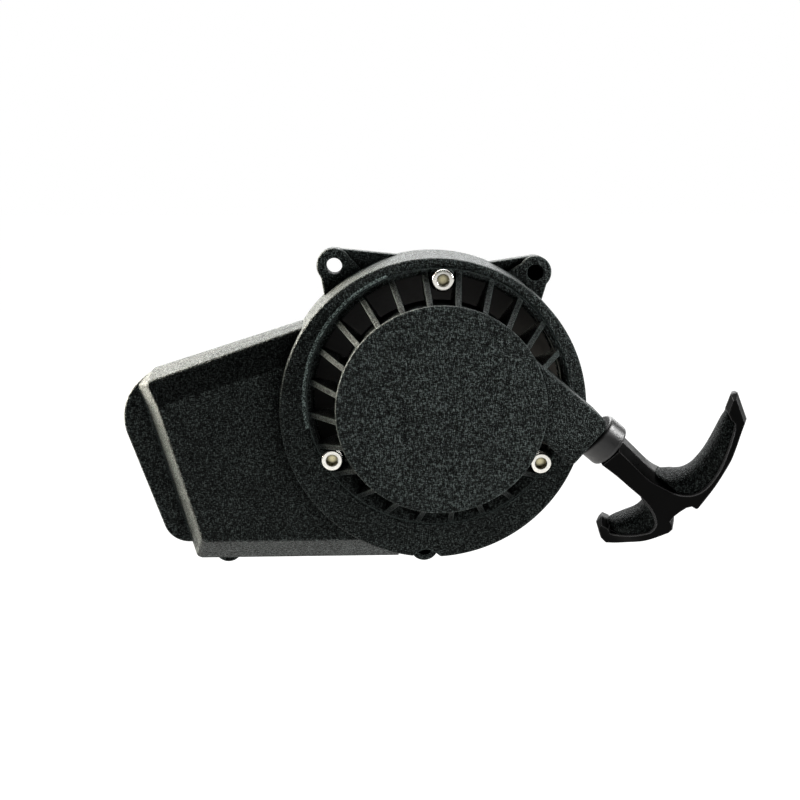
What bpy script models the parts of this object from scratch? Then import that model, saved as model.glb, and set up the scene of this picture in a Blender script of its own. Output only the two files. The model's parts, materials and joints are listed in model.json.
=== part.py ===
"""Recoil starter with its engine side cover, for a small two-stroke engine.

Everything is drawn lying on its back, in millimetres: x runs across, y runs up
and z is the height out from the mounting plane.  One empty, "stand", then turns
the whole model upright, so that the heights point along world -Y and the
drawing's y becomes world +Z.  The origin is where the starter's axis meets the
mounting plane.
"""

from math import atan2, cos, pi, radians, sin

import bmesh
import bpy
from mathutils import Matrix, Vector

MM = 0.001                       # metres in a millimetre
GAP = 0.3                        # clearance between touching pieces

# ---------------------------------------------------------------- side cover
WALL = 2.5
SHROUD_CENTRE = (-1.7, -5.5)     # the fan shroud is eccentric to the starter
SHROUD_RADIUS = 62.8             # at its front face
SHROUD_DRAFT = 1.2
SHROUD_HEIGHT = 28.0
SHROUD_STEPS = 84
HOUSING_STEPS = 84
MOUTH_RADIUS = 53.5              # rebate that takes the starter's flange
REBATE_HEIGHT = 22.0
EYE_RADIUS = 38.0                # fan eye, at the small end of the bell mouth
EYE_HEIGHT = 10.0
COVER_HEIGHT = 22.0              # face of the sprocket cover
FLANGE_HEIGHT = 9.0
FACET_DROP = 2.0
EDGE = 0.8                       # chamfer on moulded edges
LUG_HEIGHT = 8.0
WEB_HEIGHT = 5.5
LUG_RADIUS = 7.3
LUG_HOLE_RADIUS = 3.3            # M6 clearance
LEFT_LUG = (-42.0, 52.4)
RIGHT_LUG = (41.6, 49.4)
BOTTOM_LUG = (-4.0, -71.7)
BOTTOM_LUG_RADIUS = 6.2
SIDE_BOSS = (-90.5, -72.0)

# ----------------------------------------------------------- starter housing
DISC_HEIGHT = 49.0
DISC_RADIUS = 41.3
CUP_OUTER = 40.6
CUP_INNER = 37.6
CUP_BACK = 24.0                  # height of the cup's rear edge
CUP_ROOF = 46.4                  # inner side of the disc
POST_RADIUS = 5.0
POST_BACK = 23.7
RING_OUTER = 53.2
RING_INNER = 51.2
RING_BACK = 22.8
RIB_THICK = 2.4
RIB_PITCH = 15.0
RIB_FIRST = 21.4                 # angle of the first rib, in degrees
RIB_COUNT = 21
SCREW_CIRCLE = 49.2
SCREW_ANGLES = (88.6, 208.6, 328.6)
LOWER_WEB = (209.0, 328.0)       # the slots are closed between these angles
LOWER_WEB_INNER = 46.0
LOWER_WEB_HEIGHTS = (24.4, 27.7)
BOSS_RADIUS = 5.2
BOSS_TOP = 28.5
SCREW_POST_RADIUS = 5.6          # the side cover's posts under the bosses
SCREW_HOLE_RADIUS = 2.8
INSERT_RADIUS = 3.5
INSERT_LOW = 12.6
HOOK_POST = (34.6, 150.0)        # radius and angle of the spring's hook post
HOOK_POST_RADIUS = 1.5

# ------------------------------------------------------------------ cap screws
HEAD_RADIUS = 4.25
HEAD_HEIGHT = 5.0
SHANK_RADIUS = 2.45
SOCKET_RADIUS = 2.35
SOCKET_DEPTH = 2.6

# -------------------------------------------------------------- rope's line
PULL_ANGLE = -40.3               # direction in which the rope is pulled
ROPE_RADIUS = 1.5
ROPE_OFFSET = 31.2               # distance from the axis to the rope's line
ROPE_HEIGHT = 37.0
SPOUT_END = 54.8
SPOUT_LOW = -15.1
SPOUT_HIGH = 7.2
SPOUT_BACK = 28.4
SPOUT_FACE = 47.0
GUIDE_RADIUS = 9.5
GUIDE_START = 55.4
GUIDE_END = 64.6
HANDLE_START = 65.2
HANDLE_TURN = 20.0               # how far the grip is turned about the rope
GRIP_HALF = 7.8                  # half the grip's thickness at its middle
LONG_ARM_HALF = 4.0              # half the thickness at the long arm's tip
SHORT_ARM_HALF = 5.0             # half the thickness at the short arm's end
ROPE_HOLE = 2.1                  # radius of the rope's holes
KNOT_SEAT = 94.0
KNOT_POCKET = 4.9                # radius of the pocket for the handle's knot
LEAD_END = 95.6
END_KNOT = 3.0                   # radius of the knot in the handle
REEL_KNOT = 2.6                  # radius of the knot in the reel

# ------------------------------------------------------------------ mechanism
REEL_RADIUS = 35.0
REEL_CORE = 15.6
REEL_BORE = 5.4
GROOVE = (35.1, 38.9)
REEL_BACK = 32.0
REEL_FRONT = 40.5
COIL_PITCH = 3.1
COIL_TURNS = 4.4
SPRING_HEIGHTS = (40.9, 46.1)
SPRING_TURNS = 7.0
SPRING_RADII = (9.4, 32.0)
SPRING_THICK = 0.5
PAWL_CIRCLE = 20.0
PAWL_HEIGHTS = (27.6, 31.7)
PAWL_ARM = 14.0
PAWL_REST = -8.0                 # lean of the pawl at rest, in degrees
PAWL_SWING = 28.0
PLATE_TURN = 22.0
PLATE_HEIGHTS = (25.4, 27.0)
PLATE_RADIUS = 25.0
BOSS_ARM = 7.0
BOSS_PIN = 1.5
POCKET_ANGLE = 90.0
POCKET_CIRCLE = 12.1
POCKET_RADIUS = 3.4

BLACK = (0.012, 0.012, 0.013)


# ------------------------------------------------------------------- helpers
def clear_scene():
    for item in list(bpy.data.objects):
        bpy.data.objects.remove(item, do_unlink=True)


def material(name, colour, roughness, metallic):
    made = bpy.data.materials.new(name)
    made.use_nodes = True
    shader = made.node_tree.nodes["Principled BSDF"]
    shader.inputs["Base Color"].default_value = (*colour, 1.0)
    shader.inputs["Roughness"].default_value = roughness
    shader.inputs["Metallic"].default_value = metallic
    return made


def polar(radius, degrees, centre=(0.0, 0.0)):
    angle = radians(degrees)
    return (centre[0] + radius * cos(angle), centre[1] + radius * sin(angle))


def arc(centre, radius, first, last, count):
    """Points along an arc, both ends included."""
    step = (last - first) / (count - 1)
    return [polar(radius, first + step * index, centre) for index in range(count)]


def new_object(name, mesh_data):
    made = bpy.data.objects.new(name, mesh_data)
    bpy.context.scene.collection.objects.link(made)
    return made


def object_from(name, bm):
    """Turn a bmesh drawn in millimetres into an object in metres."""
    bmesh.ops.recalc_face_normals(bm, faces=bm.faces)
    bmesh.ops.scale(bm, vec=(MM, MM, MM), verts=bm.verts)
    mesh_data = bpy.data.meshes.new(name)
    bm.to_mesh(mesh_data)
    bm.free()
    return new_object(name, mesh_data)


def loft(name, sections):
    """A solid through closed sections, each (outline, height)."""
    bm = bmesh.new()
    loops = []
    for outline, height in sections:
        loops.append([bm.verts.new((x, y, height)) for x, y in outline])
    count = len(loops[0])
    for lower, upper in zip(loops, loops[1:]):
        for index in range(count):
            after = (index + 1) % count
            bm.faces.new((lower[index], lower[after], upper[after], upper[index]))
    bm.faces.new(list(reversed(loops[0])))
    bm.faces.new(loops[-1])
    return object_from(name, bm)


def prism(name, outline, low, high):
    return loft(name, [(outline, low), (outline, high)])


def turned(name, profile, steps=48, centre=(0.0, 0.0)):
    """Turn a closed profile of (radius, height) about the upright axis."""
    bm = bmesh.new()
    rings = []
    for radius, height in profile:
        if radius < 1e-6:
            rings.append([bm.verts.new((*centre, height))])
            continue
        ring = []
        for index in range(steps):
            x, y = polar(radius, 360.0 * index / steps, centre)
            ring.append(bm.verts.new((x, y, height)))
        rings.append(ring)
    for inner, outer in zip(rings, rings[1:] + rings[:1]):
        if len(inner) == 1 and len(outer) == 1:
            continue
        for index in range(steps):
            after = (index + 1) % steps
            if len(inner) == 1:
                bm.faces.new((inner[0], outer[index], outer[after]))
            elif len(outer) == 1:
                bm.faces.new((inner[index], outer[0], inner[after]))
            else:
                bm.faces.new((inner[index], outer[index], outer[after], inner[after]))
    return object_from(name, bm)


def swept(name, points, section, up=Vector((0.0, 0.0, 1.0))):
    """Sweep a closed section (sideways, upright) along points, with flat ends."""
    bm = bmesh.new()
    loops = []
    for index, point in enumerate(points):
        before = points[max(index - 1, 0)]
        after = points[min(index + 1, len(points) - 1)]
        along = (after - before).normalized()
        side = along.cross(up).normalized()
        rise = side.cross(along)
        loops.append([bm.verts.new(point + side * a + rise * b) for a, b in section])
    count = len(section)
    for lower, upper in zip(loops, loops[1:]):
        for index in range(count):
            after = (index + 1) % count
            bm.faces.new((lower[index], lower[after], upper[after], upper[index]))
    bm.faces.new(list(reversed(loops[0])))
    bm.faces.new(loops[-1])
    return object_from(name, bm)


def circle_section(radius, sides):
    return [polar(radius, 360.0 * (index + 0.5) / sides) for index in range(sides)]


def combine(target, other, operation, solver):
    """Union, difference or intersection of two objects, kept in the first."""
    modifier = target.modifiers.new(operation.lower(), "BOOLEAN")
    modifier.operation = operation
    modifier.solver = solver
    modifier.object = other
    bpy.context.view_layer.update()
    graph = bpy.context.evaluated_depsgraph_get()
    result = bpy.data.meshes.new_from_object(target.evaluated_get(graph))
    target.modifiers.clear()
    target.data = result
    bpy.data.objects.remove(other, do_unlink=True)
    return target


def cut(target, other):
    return combine(target, other, "DIFFERENCE", "EXACT")


# The large mouldings and the reel have so many thin faces that the EXACT solver
# leaves gaps in them, so they are put together with the MANIFOLD solver.
def mould_cut(target, other):
    return combine(target, other, "DIFFERENCE", "MANIFOLD")


def mould_join(target, other):
    return combine(target, other, "UNION", "MANIFOLD")


def mould_keep(target, other):
    return combine(target, other, "INTERSECT", "MANIFOLD")


def cylinder(name, centre, radius, low, high, steps=32):
    return turned(name, [(0, low), (radius, low), (radius, high), (0, high)], steps, centre)


def to_rope(item):
    """Move an object drawn along local x onto the rope's line."""
    item.matrix_world = rope_matrix() @ item.matrix_world
    item.data.transform(item.matrix_world)
    item.matrix_world = Matrix.Identity(4)
    return item


def rope_matrix():
    origin = polar(ROPE_OFFSET * MM, PULL_ANGLE + 90.0)
    shift = Matrix.Translation((origin[0], origin[1], ROPE_HEIGHT * MM))
    return shift @ Matrix.Rotation(radians(PULL_ANGLE), 4, "Z")


def lay_along_x(item):
    """Turn a piece that was turned about z so that its axis runs along x."""
    item.data.transform(Matrix.Rotation(radians(90.0), 4, "Y"))
    return item


def finish(item, look, parent, smooth=35.0):
    """Give a piece its material, its shading and its place in the model."""
    item.data.materials.clear()
    item.data.materials.append(look)
    item.data.shade_smooth()
    item.data.set_sharp_from_angle(angle=radians(smooth))
    item.parent = parent
    return item


# ---------------------------------------------------------------- side cover
def sprocket_outline(inset, corner, foot):
    """Outline of the sprocket cover: foot 0 at the face, 1 at the wall's foot."""
    top_right = (-38.0, 34.6 - 1.2 * inset)
    left_top = (-118.3 - 1.0 * foot + 1.1 * inset, 6.9 + 1.9 * foot - 1.1 * inset)
    left = (-118.9 - 6.2 * foot + inset, 5.6 - 2.8 * foot - inset)
    crease = (-114.8 - 6.6 * foot + inset, -3.8 - 4.2 * foot)
    low_left = (-99.2 - 4.5 * foot + inset, -61.2 - 12.6 * foot + inset)
    low = (-97.5 - 4.2 * foot + inset, -62.4 - 12.3 * foot + inset)
    low_right = (-14.0, -62.4 - 12.3 * foot + inset)
    bend = [left_top, (left[0] - 0.1 + 0.3 * corner, left[1] + corner * 1.2), left]
    return [top_right, *bend, crease, low_left, low, low_right, (-14.0, 0.0)]


def flange_outline(inset):
    """Outline of the low flange round the sprocket cover's closed end."""
    upper = arc((-110.0, -11.8), 21.9 - inset, 104.0, 198.0, 10)
    lower = arc((-106.8, -56.4), 11.0 - inset, 198.0, 268.0, 6)
    return [(-96.0, 14.0 - inset), *upper, *lower, (-96.0, -67.4 + inset)]


def sprocket_shell():
    body = loft("body", [
        (sprocket_outline(0.0, 1.0, 1.0), 0.0),
        (sprocket_outline(0.0, 1.0, 1.0), FLANGE_HEIGHT),
        (sprocket_outline(0.0, 1.0, 0.06), COVER_HEIGHT - EDGE),
        (sprocket_outline(EDGE, 1.0, 0.0), COVER_HEIGHT),
    ])
    flange = loft("flange", [
        (flange_outline(0.0), 0.0),
        (flange_outline(0.0), FLANGE_HEIGHT - EDGE),
        (flange_outline(EDGE), FLANGE_HEIGHT - 0.1),
    ])
    mould_join(body, flange)
    mould_cut(body, facet_cutter())
    roof = COVER_HEIGHT - FACET_DROP - 2.0
    cavity = loft("cavity", [
        (sprocket_outline(WALL, 1.0, 1.0), -1.0),
        (sprocket_outline(WALL, 1.0, 1.0), FLANGE_HEIGHT - 2.0),
        (sprocket_outline(WALL, 1.0, 0.2), roof),
    ])
    low_cavity = prism("low_cavity", flange_outline(WALL), -1.0, FLANGE_HEIGHT - WALL)
    mould_cut(body, cavity)
    mould_cut(body, low_cavity)
    mould_cut(body, cylinder("room", SHROUD_CENTRE, SHROUD_RADIUS - 1.2, -2.0, 40.0, SHROUD_STEPS))
    return body


def facet_cutter():
    """A wedge that slopes the strip along the cover's upper edge."""
    crease = (Vector((-122.0, -6.3)), Vector((-40.0, 20.4)))
    along = (crease[1] - crease[0]).normalized()
    up = Vector((-along.y, along.x))
    width = 13.0
    reach = 30.0
    drop = FACET_DROP * reach / width
    bm = bmesh.new()
    ends = []
    for end in crease:
        far = end + up * reach
        ends.append([
            bm.verts.new((end.x, end.y, COVER_HEIGHT)),
            bm.verts.new((far.x, far.y, COVER_HEIGHT - drop)),
            bm.verts.new((far.x, far.y, COVER_HEIGHT + 5.0)),
            bm.verts.new((end.x, end.y, COVER_HEIGHT + 5.0)),
        ])
    first, second = ends
    for index in range(4):
        after = (index + 1) % 4
        bm.faces.new((first[index], first[after], second[after], second[index]))
    bm.faces.new(first)
    bm.faces.new(second)
    return object_from("facet_cutter", bm)


def shroud_shell():
    radius = SHROUD_RADIUS
    shell = turned("shroud", [
        (0.0, 0.0),
        (radius + SHROUD_DRAFT, 0.0),
        (radius + 0.1, SHROUD_HEIGHT - EDGE),
        (radius - EDGE, SHROUD_HEIGHT),
        (0.0, SHROUD_HEIGHT),
    ], SHROUD_STEPS, SHROUD_CENTRE)
    cavity = cylinder("cavity", SHROUD_CENTRE, radius - WALL, -1.0,
                      SHROUD_HEIGHT - WALL, SHROUD_STEPS)
    mould_cut(cavity, cylinder("groove_wall", (-4.2, -71.0), 9.4, -2.0, 40.0))
    mould_cut(shell, cavity)
    blank = turned("bell_mouth", [
        (EYE_RADIUS - 2.0, EYE_HEIGHT - 2.8),
        (EYE_RADIUS + 2.4, EYE_HEIGHT - 2.8),
        (MOUTH_RADIUS + WALL, REBATE_HEIGHT - 1.6),
        (MOUTH_RADIUS + WALL, SHROUD_HEIGHT - 1.0),
        (EYE_RADIUS - 2.0, SHROUD_HEIGHT - 1.0),
    ], SHROUD_STEPS)
    mould_join(shell, blank)
    mouth = turned("mouth", [
        (0.0, -2.0),
        (EYE_RADIUS, -2.0),
        (EYE_RADIUS, EYE_HEIGHT),
        (MOUTH_RADIUS - 2.0, REBATE_HEIGHT),
        (MOUTH_RADIUS, REBATE_HEIGHT),
        (MOUTH_RADIUS, SHROUD_HEIGHT - 0.5),
        (MOUTH_RADIUS + 1.0, SHROUD_HEIGHT + 0.5),
        (MOUTH_RADIUS + 1.0, SHROUD_HEIGHT + 4.0),
        (0.0, SHROUD_HEIGHT + 4.0),
    ], SHROUD_STEPS)
    return mould_cut(shell, mouth)


def groove_cutter():
    """The flared groove in the lower wall that clears the bottom lug's screw."""
    half = 11.0
    depth = 5.6
    count = 17
    outline = []
    for index in range(count):
        across = half - 2.0 * half * index / (count - 1)
        rise = depth * (0.5 + 0.5 * cos(pi * across / half))
        outline.append((-4.4 + across, -70.2 + rise))
    outline += [(-4.4 - half, -76.0), (-4.4 + half, -76.0)]
    return prism("groove", outline, -1.0, 30.0)


def ear(name, centre, radius, foot_a, foot_b, height):
    """A lug: a round end with straight sides running back to the shroud."""
    toward = atan2(centre[1] - SHROUD_CENTRE[1], centre[0] - SHROUD_CENTRE[0])
    middle = toward * 180.0 / pi
    tip = arc(centre, radius, middle - 95.0, middle + 95.0, 13)
    tip_top = arc(centre, radius - EDGE, middle - 95.0, middle + 95.0, 13)
    outline = [foot_a, *tip, foot_b]
    return loft(name, [
        (outline, 0.0),
        (outline, height - EDGE),
        ([foot_a, *tip_top, foot_b], height),
    ])


def lug_hole(centre, low):
    return cylinder("lug_hole", centre, LUG_HOLE_RADIUS, low, 40.0)


def make_side_cover():
    cover = sprocket_shell()
    mould_join(cover, shroud_shell())
    mould_cut(cover, groove_cutter())
    left_plan = [(-46.0, 50.0), (-12.0, 50.0), (-12.0, 56.4), (-21.5, 57.4), (-40.0, 59.3)]
    right_plan = [(12.0, 48.0), (44.0, 48.0), (39.5, 56.0), (22.0, 53.4), (12.0, 55.0)]
    left_web = prism("left_web", left_plan, 0.0, WEB_HEIGHT)
    right_web = prism("right_web", right_plan, 0.0, WEB_HEIGHT)
    left = ear("left_lug", LEFT_LUG, LUG_RADIUS, (-26.0, 46.0), (-45.6, 36.0), LUG_HEIGHT)
    right = ear("right_lug", RIGHT_LUG, LUG_RADIUS - 0.4, (43.6, 34.0), (24.0, 46.0), LUG_HEIGHT)
    bottom = ear("bottom_lug", BOTTOM_LUG, BOTTOM_LUG_RADIUS, (-11.0, -63.0), (3.0, -63.0), LUG_HEIGHT)
    for piece in (left_web, right_web, left, right, bottom):
        mould_cut(piece, cylinder("inside", SHROUD_CENTRE, SHROUD_RADIUS - 1.0, -2.0, 40.0, SHROUD_STEPS))
        mould_join(cover, piece)
    boss = turned("side_boss", [(0, 0), (6.0, 0), (6.0, 6.0), (0, 6.0)], 24, SIDE_BOSS)
    mould_cut(boss, prism("boss_trim", sprocket_outline(WALL + 3.0, 1.0, 1.0), -1.0, 8.0))
    mould_join(cover, boss)
    for angle in SCREW_ANGLES:
        spot = polar(SCREW_CIRCLE, angle)
        mould_join(cover, cylinder("post", spot, SCREW_POST_RADIUS, 5.0, REBATE_HEIGHT + 0.3))
    for angle in SCREW_ANGLES:
        spot = polar(SCREW_CIRCLE, angle)
        mould_cut(cover, cylinder("insert_hole", spot, INSERT_RADIUS + GAP, 11.5, 26.0, 24))
    mould_cut(cover, lug_hole(LEFT_LUG, -1.0))
    mould_cut(cover, lug_hole(RIGHT_LUG, 2.0))
    mould_cut(cover, lug_hole(BOTTOM_LUG, 2.0))
    return cover


# ----------------------------------------------------------- starter housing
def make_cup():
    return turned("starter_housing", [
        (0.0, 40.0),
        (2.7, 40.0),
        (2.7, POST_BACK),
        (POST_RADIUS, POST_BACK),
        (POST_RADIUS, CUP_ROOF),
        (CUP_INNER, CUP_ROOF),
        (CUP_INNER, CUP_BACK),
        (CUP_OUTER, CUP_BACK),
        (CUP_OUTER, DISC_HEIGHT - 1.8),
        (DISC_RADIUS, DISC_HEIGHT - 1.4),
        (DISC_RADIUS, DISC_HEIGHT - 0.8),
        (DISC_RADIUS - 0.9, DISC_HEIGHT),
        (0.0, DISC_HEIGHT),
    ], HOUSING_STEPS)


def make_ribs():
    """The grille: one sloping rib at each step round the cup."""
    side = [
        (CUP_OUTER - 1.0, CUP_BACK + 0.5),
        (RING_OUTER - 0.3, RING_BACK + 0.3),
        (RING_OUTER - 0.3, SHROUD_HEIGHT - 0.2),
        (RING_OUTER - 0.7, SHROUD_HEIGHT - 0.2),
        (CUP_OUTER + 0.4, DISC_HEIGHT - 2.2),
        (CUP_OUTER - 1.0, DISC_HEIGHT - 2.2),
    ]
    bm = bmesh.new()
    half = RIB_THICK / 2.0
    for index in range(RIB_COUNT):
        turn = Matrix.Rotation(radians(RIB_FIRST + RIB_PITCH * index), 4, "Z")
        faces = []
        for offset in (-half, half):
            faces.append([bm.verts.new(turn @ Vector((r, offset, h))) for r, h in side])
        first, second = faces
        for corner in range(len(side)):
            after = (corner + 1) % len(side)
            bm.faces.new((first[corner], first[after], second[after], second[corner]))
        bm.faces.new(first)
        bm.faces.new(second)
    return object_from("ribs", bm)


def spout_outline(back):
    """Plan of the rope spout, in the rope's own frame, from back to its end."""
    high = arc((SPOUT_END - 4.0, SPOUT_HIGH - 4.0), 4.0, 90.0, 0.0, 6)
    low = arc((SPOUT_END - 2.0, SPOUT_LOW + 2.0), 2.0, 0.0, -90.0, 4)
    return [(back, SPOUT_HIGH), *high, *low, (back, SPOUT_LOW)]


def shrink(outline, amount):
    """Draw an outline in towards its own middle line by a small amount."""
    middle_y = (SPOUT_HIGH + SPOUT_LOW) / 2.0
    result = []
    for x, y in outline:
        moved = y - amount if y > middle_y else y + amount
        result.append((x - amount if x > 30.0 else x, moved))
    return result


def make_spout():
    """The rope spout: a box with a tunnel, reaching from the cup past the ring."""
    drop = -ROPE_HEIGHT
    outline = spout_outline(12.0)
    spout = to_rope(loft("spout", [
        (outline, SPOUT_BACK + drop),
        (outline, SPOUT_FACE - 1.0 + drop),
        (shrink(outline, 1.0), SPOUT_FACE + drop),
    ]))
    foot = to_rope(prism("spout_foot", spout_outline(14.0), CUP_BACK + drop, 31.0 + drop))
    mould_keep(foot, cylinder("limit", (0.0, 0.0), RING_OUTER - 0.2, 20.0, 40.0, HOUSING_STEPS))
    mould_join(spout, foot)
    mould_cut(spout, cylinder("hollow", (0.0, 0.0), CUP_INNER + 1.0, 10.0, CUP_ROOF + 0.3, HOUSING_STEPS))
    return spout


def make_housing():
    housing = make_cup()
    ring = turned("ring", [
        (RING_INNER, RING_BACK),
        (RING_OUTER, RING_BACK),
        (RING_OUTER, SHROUD_HEIGHT - 0.4),
        (RING_OUTER - 0.4, SHROUD_HEIGHT),
        (RING_INNER, SHROUD_HEIGHT),
    ], HOUSING_STEPS)
    mould_join(ring, make_ribs())
    first, last = LOWER_WEB
    plan = [*arc((0.0, 0.0), RING_INNER + 1.0, first, last, 31),
            *arc((0.0, 0.0), LOWER_WEB_INNER, last, first, 31)]
    mould_join(ring, prism("lower_web", plan, *LOWER_WEB_HEIGHTS))
    for angle in SCREW_ANGLES:
        boss = cylinder("boss", polar(SCREW_CIRCLE, angle), BOSS_RADIUS, REBATE_HEIGHT + 0.6, BOSS_TOP)
        mould_keep(boss, cylinder("limit", (0.0, 0.0), RING_OUTER - 0.1, 10.0, 40.0, HOUSING_STEPS))
        mould_join(ring, boss)
    mould_join(housing, ring)
    mould_join(housing, make_spout())
    tunnel = prism("tunnel", [(6.0, -12.7), (51.8, -12.7), (51.8, 4.8), (6.0, 4.8)], -6.2, 7.4)
    mould_cut(housing, to_rope(tunnel))
    bore = lay_along_x(turned("bore", [(0, 48.0), (6.2, 48.0), (6.2, 60.0), (0, 60.0)], 32))
    mould_cut(housing, to_rope(bore))
    for angle in SCREW_ANGLES:
        spot = polar(SCREW_CIRCLE, angle)
        mould_cut(housing, cylinder("screw_hole", spot, SCREW_HOLE_RADIUS, 15.0, 40.0, 24))
    hook_post = cylinder("hook_post", polar(*HOOK_POST), HOOK_POST_RADIUS, 41.4, CUP_ROOF + 0.6, 16)
    mould_join(housing, hook_post)
    return housing


# ------------------------------------------------------------------ fasteners
def make_cap_screw(name, centre):
    """A socket-head cap screw standing on its boss, with a hexagon socket."""
    seat = BOSS_TOP + GAP
    head_top = seat + HEAD_HEIGHT
    screw = turned(name, [
        (0.0, INSERT_LOW),
        (SHANK_RADIUS - 0.6, INSERT_LOW),
        (SHANK_RADIUS, INSERT_LOW + 0.6),
        (SHANK_RADIUS, seat),
        (HEAD_RADIUS, seat),
        (HEAD_RADIUS, head_top - 0.5),
        (HEAD_RADIUS - 0.5, head_top),
        (0.0, head_top),
    ], 32, centre)
    hexagon = [polar(SOCKET_RADIUS, 60.0 * index + 30.0, centre) for index in range(6)]
    return cut(screw, prism("socket", hexagon, head_top - SOCKET_DEPTH, head_top + 2.0))


def make_tube(name, centre, inner, outer, low, high, steps=32):
    return turned(name, [(inner, low), (outer, low), (outer, high), (inner, high)], steps, centre)


# ------------------------------------------------------------------ mechanism
def make_reel():
    reel = turned("reel", [
        (REEL_BORE, 27.4),
        (9.0, 27.4),
        (9.0, REEL_BACK),
        (REEL_RADIUS, REEL_BACK),
        (REEL_RADIUS, GROOVE[0] - 0.6),
        (REEL_RADIUS - 0.6, GROOVE[0]),
        (REEL_CORE, GROOVE[0]),
        (REEL_CORE, GROOVE[1]),
        (REEL_RADIUS, GROOVE[1]),
        (REEL_RADIUS, REEL_FRONT),
        (8.6, REEL_FRONT),
        (8.6, 45.8),
        (REEL_BORE, 45.8),
    ], 56)
    pocket = polar(POCKET_CIRCLE, POCKET_ANGLE)
    mould_cut(reel, cylinder("pocket", pocket, POCKET_RADIUS, 26.0, GROOVE[1] - 0.4, 20))
    slot = prism("slot", [(-2.0, 12.0), (2.0, 12.0), (2.0, 18.0), (-2.0, 18.0)], 35.3, GROOVE[1] - 0.2)
    mould_cut(reel, slot)
    for side in range(2):
        spot = polar(PAWL_CIRCLE, 180.0 * side)
        mould_cut(reel, cylinder("pin_hole", spot, 2.3, 30.0, GROOVE[0] - 0.4, 20))
    return reel


def wound_points():
    """The rope's turns on the reel, then its short run into the pocket."""
    points = []
    count = int(COIL_TURNS * 24)
    start = PULL_ANGLE + 90.0
    start_gap = 0.9                      # degrees, the gap to the straight rope
    for index in range(count + 1):
        turn = COIL_TURNS * index / count
        x, y = polar(ROPE_OFFSET - COIL_PITCH * turn, start + start_gap + 360.0 * turn)
        points.append(Vector((x, y, ROPE_HEIGHT)))
    last = COIL_TURNS * 360.0 + start + start_gap
    inner = ROPE_OFFSET - COIL_PITCH * COIL_TURNS
    while last > 360.0:
        last -= 360.0
    remaining = 360.0 + POCKET_ANGLE - last if last > POCKET_ANGLE else POCKET_ANGLE - last
    steps = 12
    for index in range(1, steps + 1):
        share = index / steps
        x, y = polar(inner - 0.1 * share, last + (remaining - 12.0) * share)
        points.append(Vector((x, y, ROPE_HEIGHT)))
    return points


def spiral_strip():
    """The flat spiral spring, wound outwards round the reel's hub."""
    inner, outer = SPRING_RADII
    count = int(SPRING_TURNS * 20)
    end_angle = 150.0 + 6.0
    points = []
    for index in range(count + 1):
        share = index / count
        angle = end_angle - SPRING_TURNS * 360.0 * (1.0 - share)
        x, y = polar(inner + (outer - inner) * share, angle)
        points.append(Vector((x, y, 0.0)))
    low, high = SPRING_HEIGHTS
    half = SPRING_THICK / 2.0
    section = [(-half, low), (half, low), (half, high), (-half, high)]
    return swept("recoil_spring", points, section)


def pawl_outline():
    """A pawl about its pivot, reaching along +x, with a square driving end."""
    heel = arc((0.0, 0.0), 3.9, 100.0, 260.0, 9)
    return [*heel, (5.0, -2.9), (PAWL_ARM, -1.9), (PAWL_ARM + 0.8, 1.6), (6.0, 3.3)]


def pawl_angle(side, swing):
    """Direction of a pawl's arm: forward round the reel, leaning in at rest."""
    return 180.0 * side - 90.0 + PAWL_REST + swing


def make_pawl(side):
    low, high = PAWL_HEIGHTS
    name = f"pawl_{side + 1}"
    pawl = prism(name, pawl_outline(), low, high)
    stud = cylinder("stud", (BOSS_ARM, 0.0), BOSS_PIN, 24.6, low + 1.0, 16)
    combine(pawl, stud, "UNION", "EXACT")
    cut(pawl, cylinder("eye", (0.0, 0.0), 2.3, 20.0, 40.0, 20))
    x, y = polar(PAWL_CIRCLE * MM, 180.0 * side)
    pawl.location = (x, y, 0.0)
    pawl.rotation_euler = (0.0, 0.0, radians(pawl_angle(side, 0.0)))
    return pawl


def slot_outline(side):
    """Track of a pawl's stud in the guide plate, widened to a slot."""
    track = []
    count = 7
    for index in range(count):
        share = index / (count - 1)
        x, y = polar(PAWL_CIRCLE, 180.0 * side)
        arm = polar(BOSS_ARM, pawl_angle(side, PAWL_SWING * share))
        seen = Matrix.Rotation(radians(-PLATE_TURN * share), 2) @ Vector((x + arm[0], y + arm[1]))
        track.append(seen)
    half = BOSS_PIN + 0.5
    first = track[1] - track[0]
    last = track[-1] - track[-2]
    start = degrees_of(first)
    finish_angle = degrees_of(last)
    left = []
    right = []
    for index, spot in enumerate(track):
        along = (track[min(index + 1, count - 1)] - track[max(index - 1, 0)]).normalized()
        left.append(spot + Vector((-along.y, along.x)) * half)
        right.append(spot - Vector((-along.y, along.x)) * half)
    tail = arc(tuple(track[0]), half, start + 90.0, start + 270.0, 7)[1:-1]
    nose = arc(tuple(track[-1]), half, finish_angle - 90.0, finish_angle + 90.0, 7)[1:-1]
    return [*tail, *map(tuple, right), *nose, *map(tuple, reversed(left))]


def degrees_of(vector):
    return atan2(vector.y, vector.x) * 180.0 / pi


def make_guide_plate():
    low, high = PLATE_HEIGHTS
    plate = make_tube("guide_plate", (0.0, 0.0), 5.4, PLATE_RADIUS, low, high, 48)
    for side in range(2):
        cut(plate, prism("track", slot_outline(side), low - 2.0, high + 2.0))
    return plate


def make_brake_spring():
    """A light open coil that presses the guide plate against the reel."""
    points = []
    count = 36
    for index in range(count + 1):
        share = index / count
        x, y = polar(6.9, 400.0 * share)
        points.append(Vector((x, y, 24.1 + 0.62 * share)))
    return swept("brake_spring", points, circle_section(0.32, 6))


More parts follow.
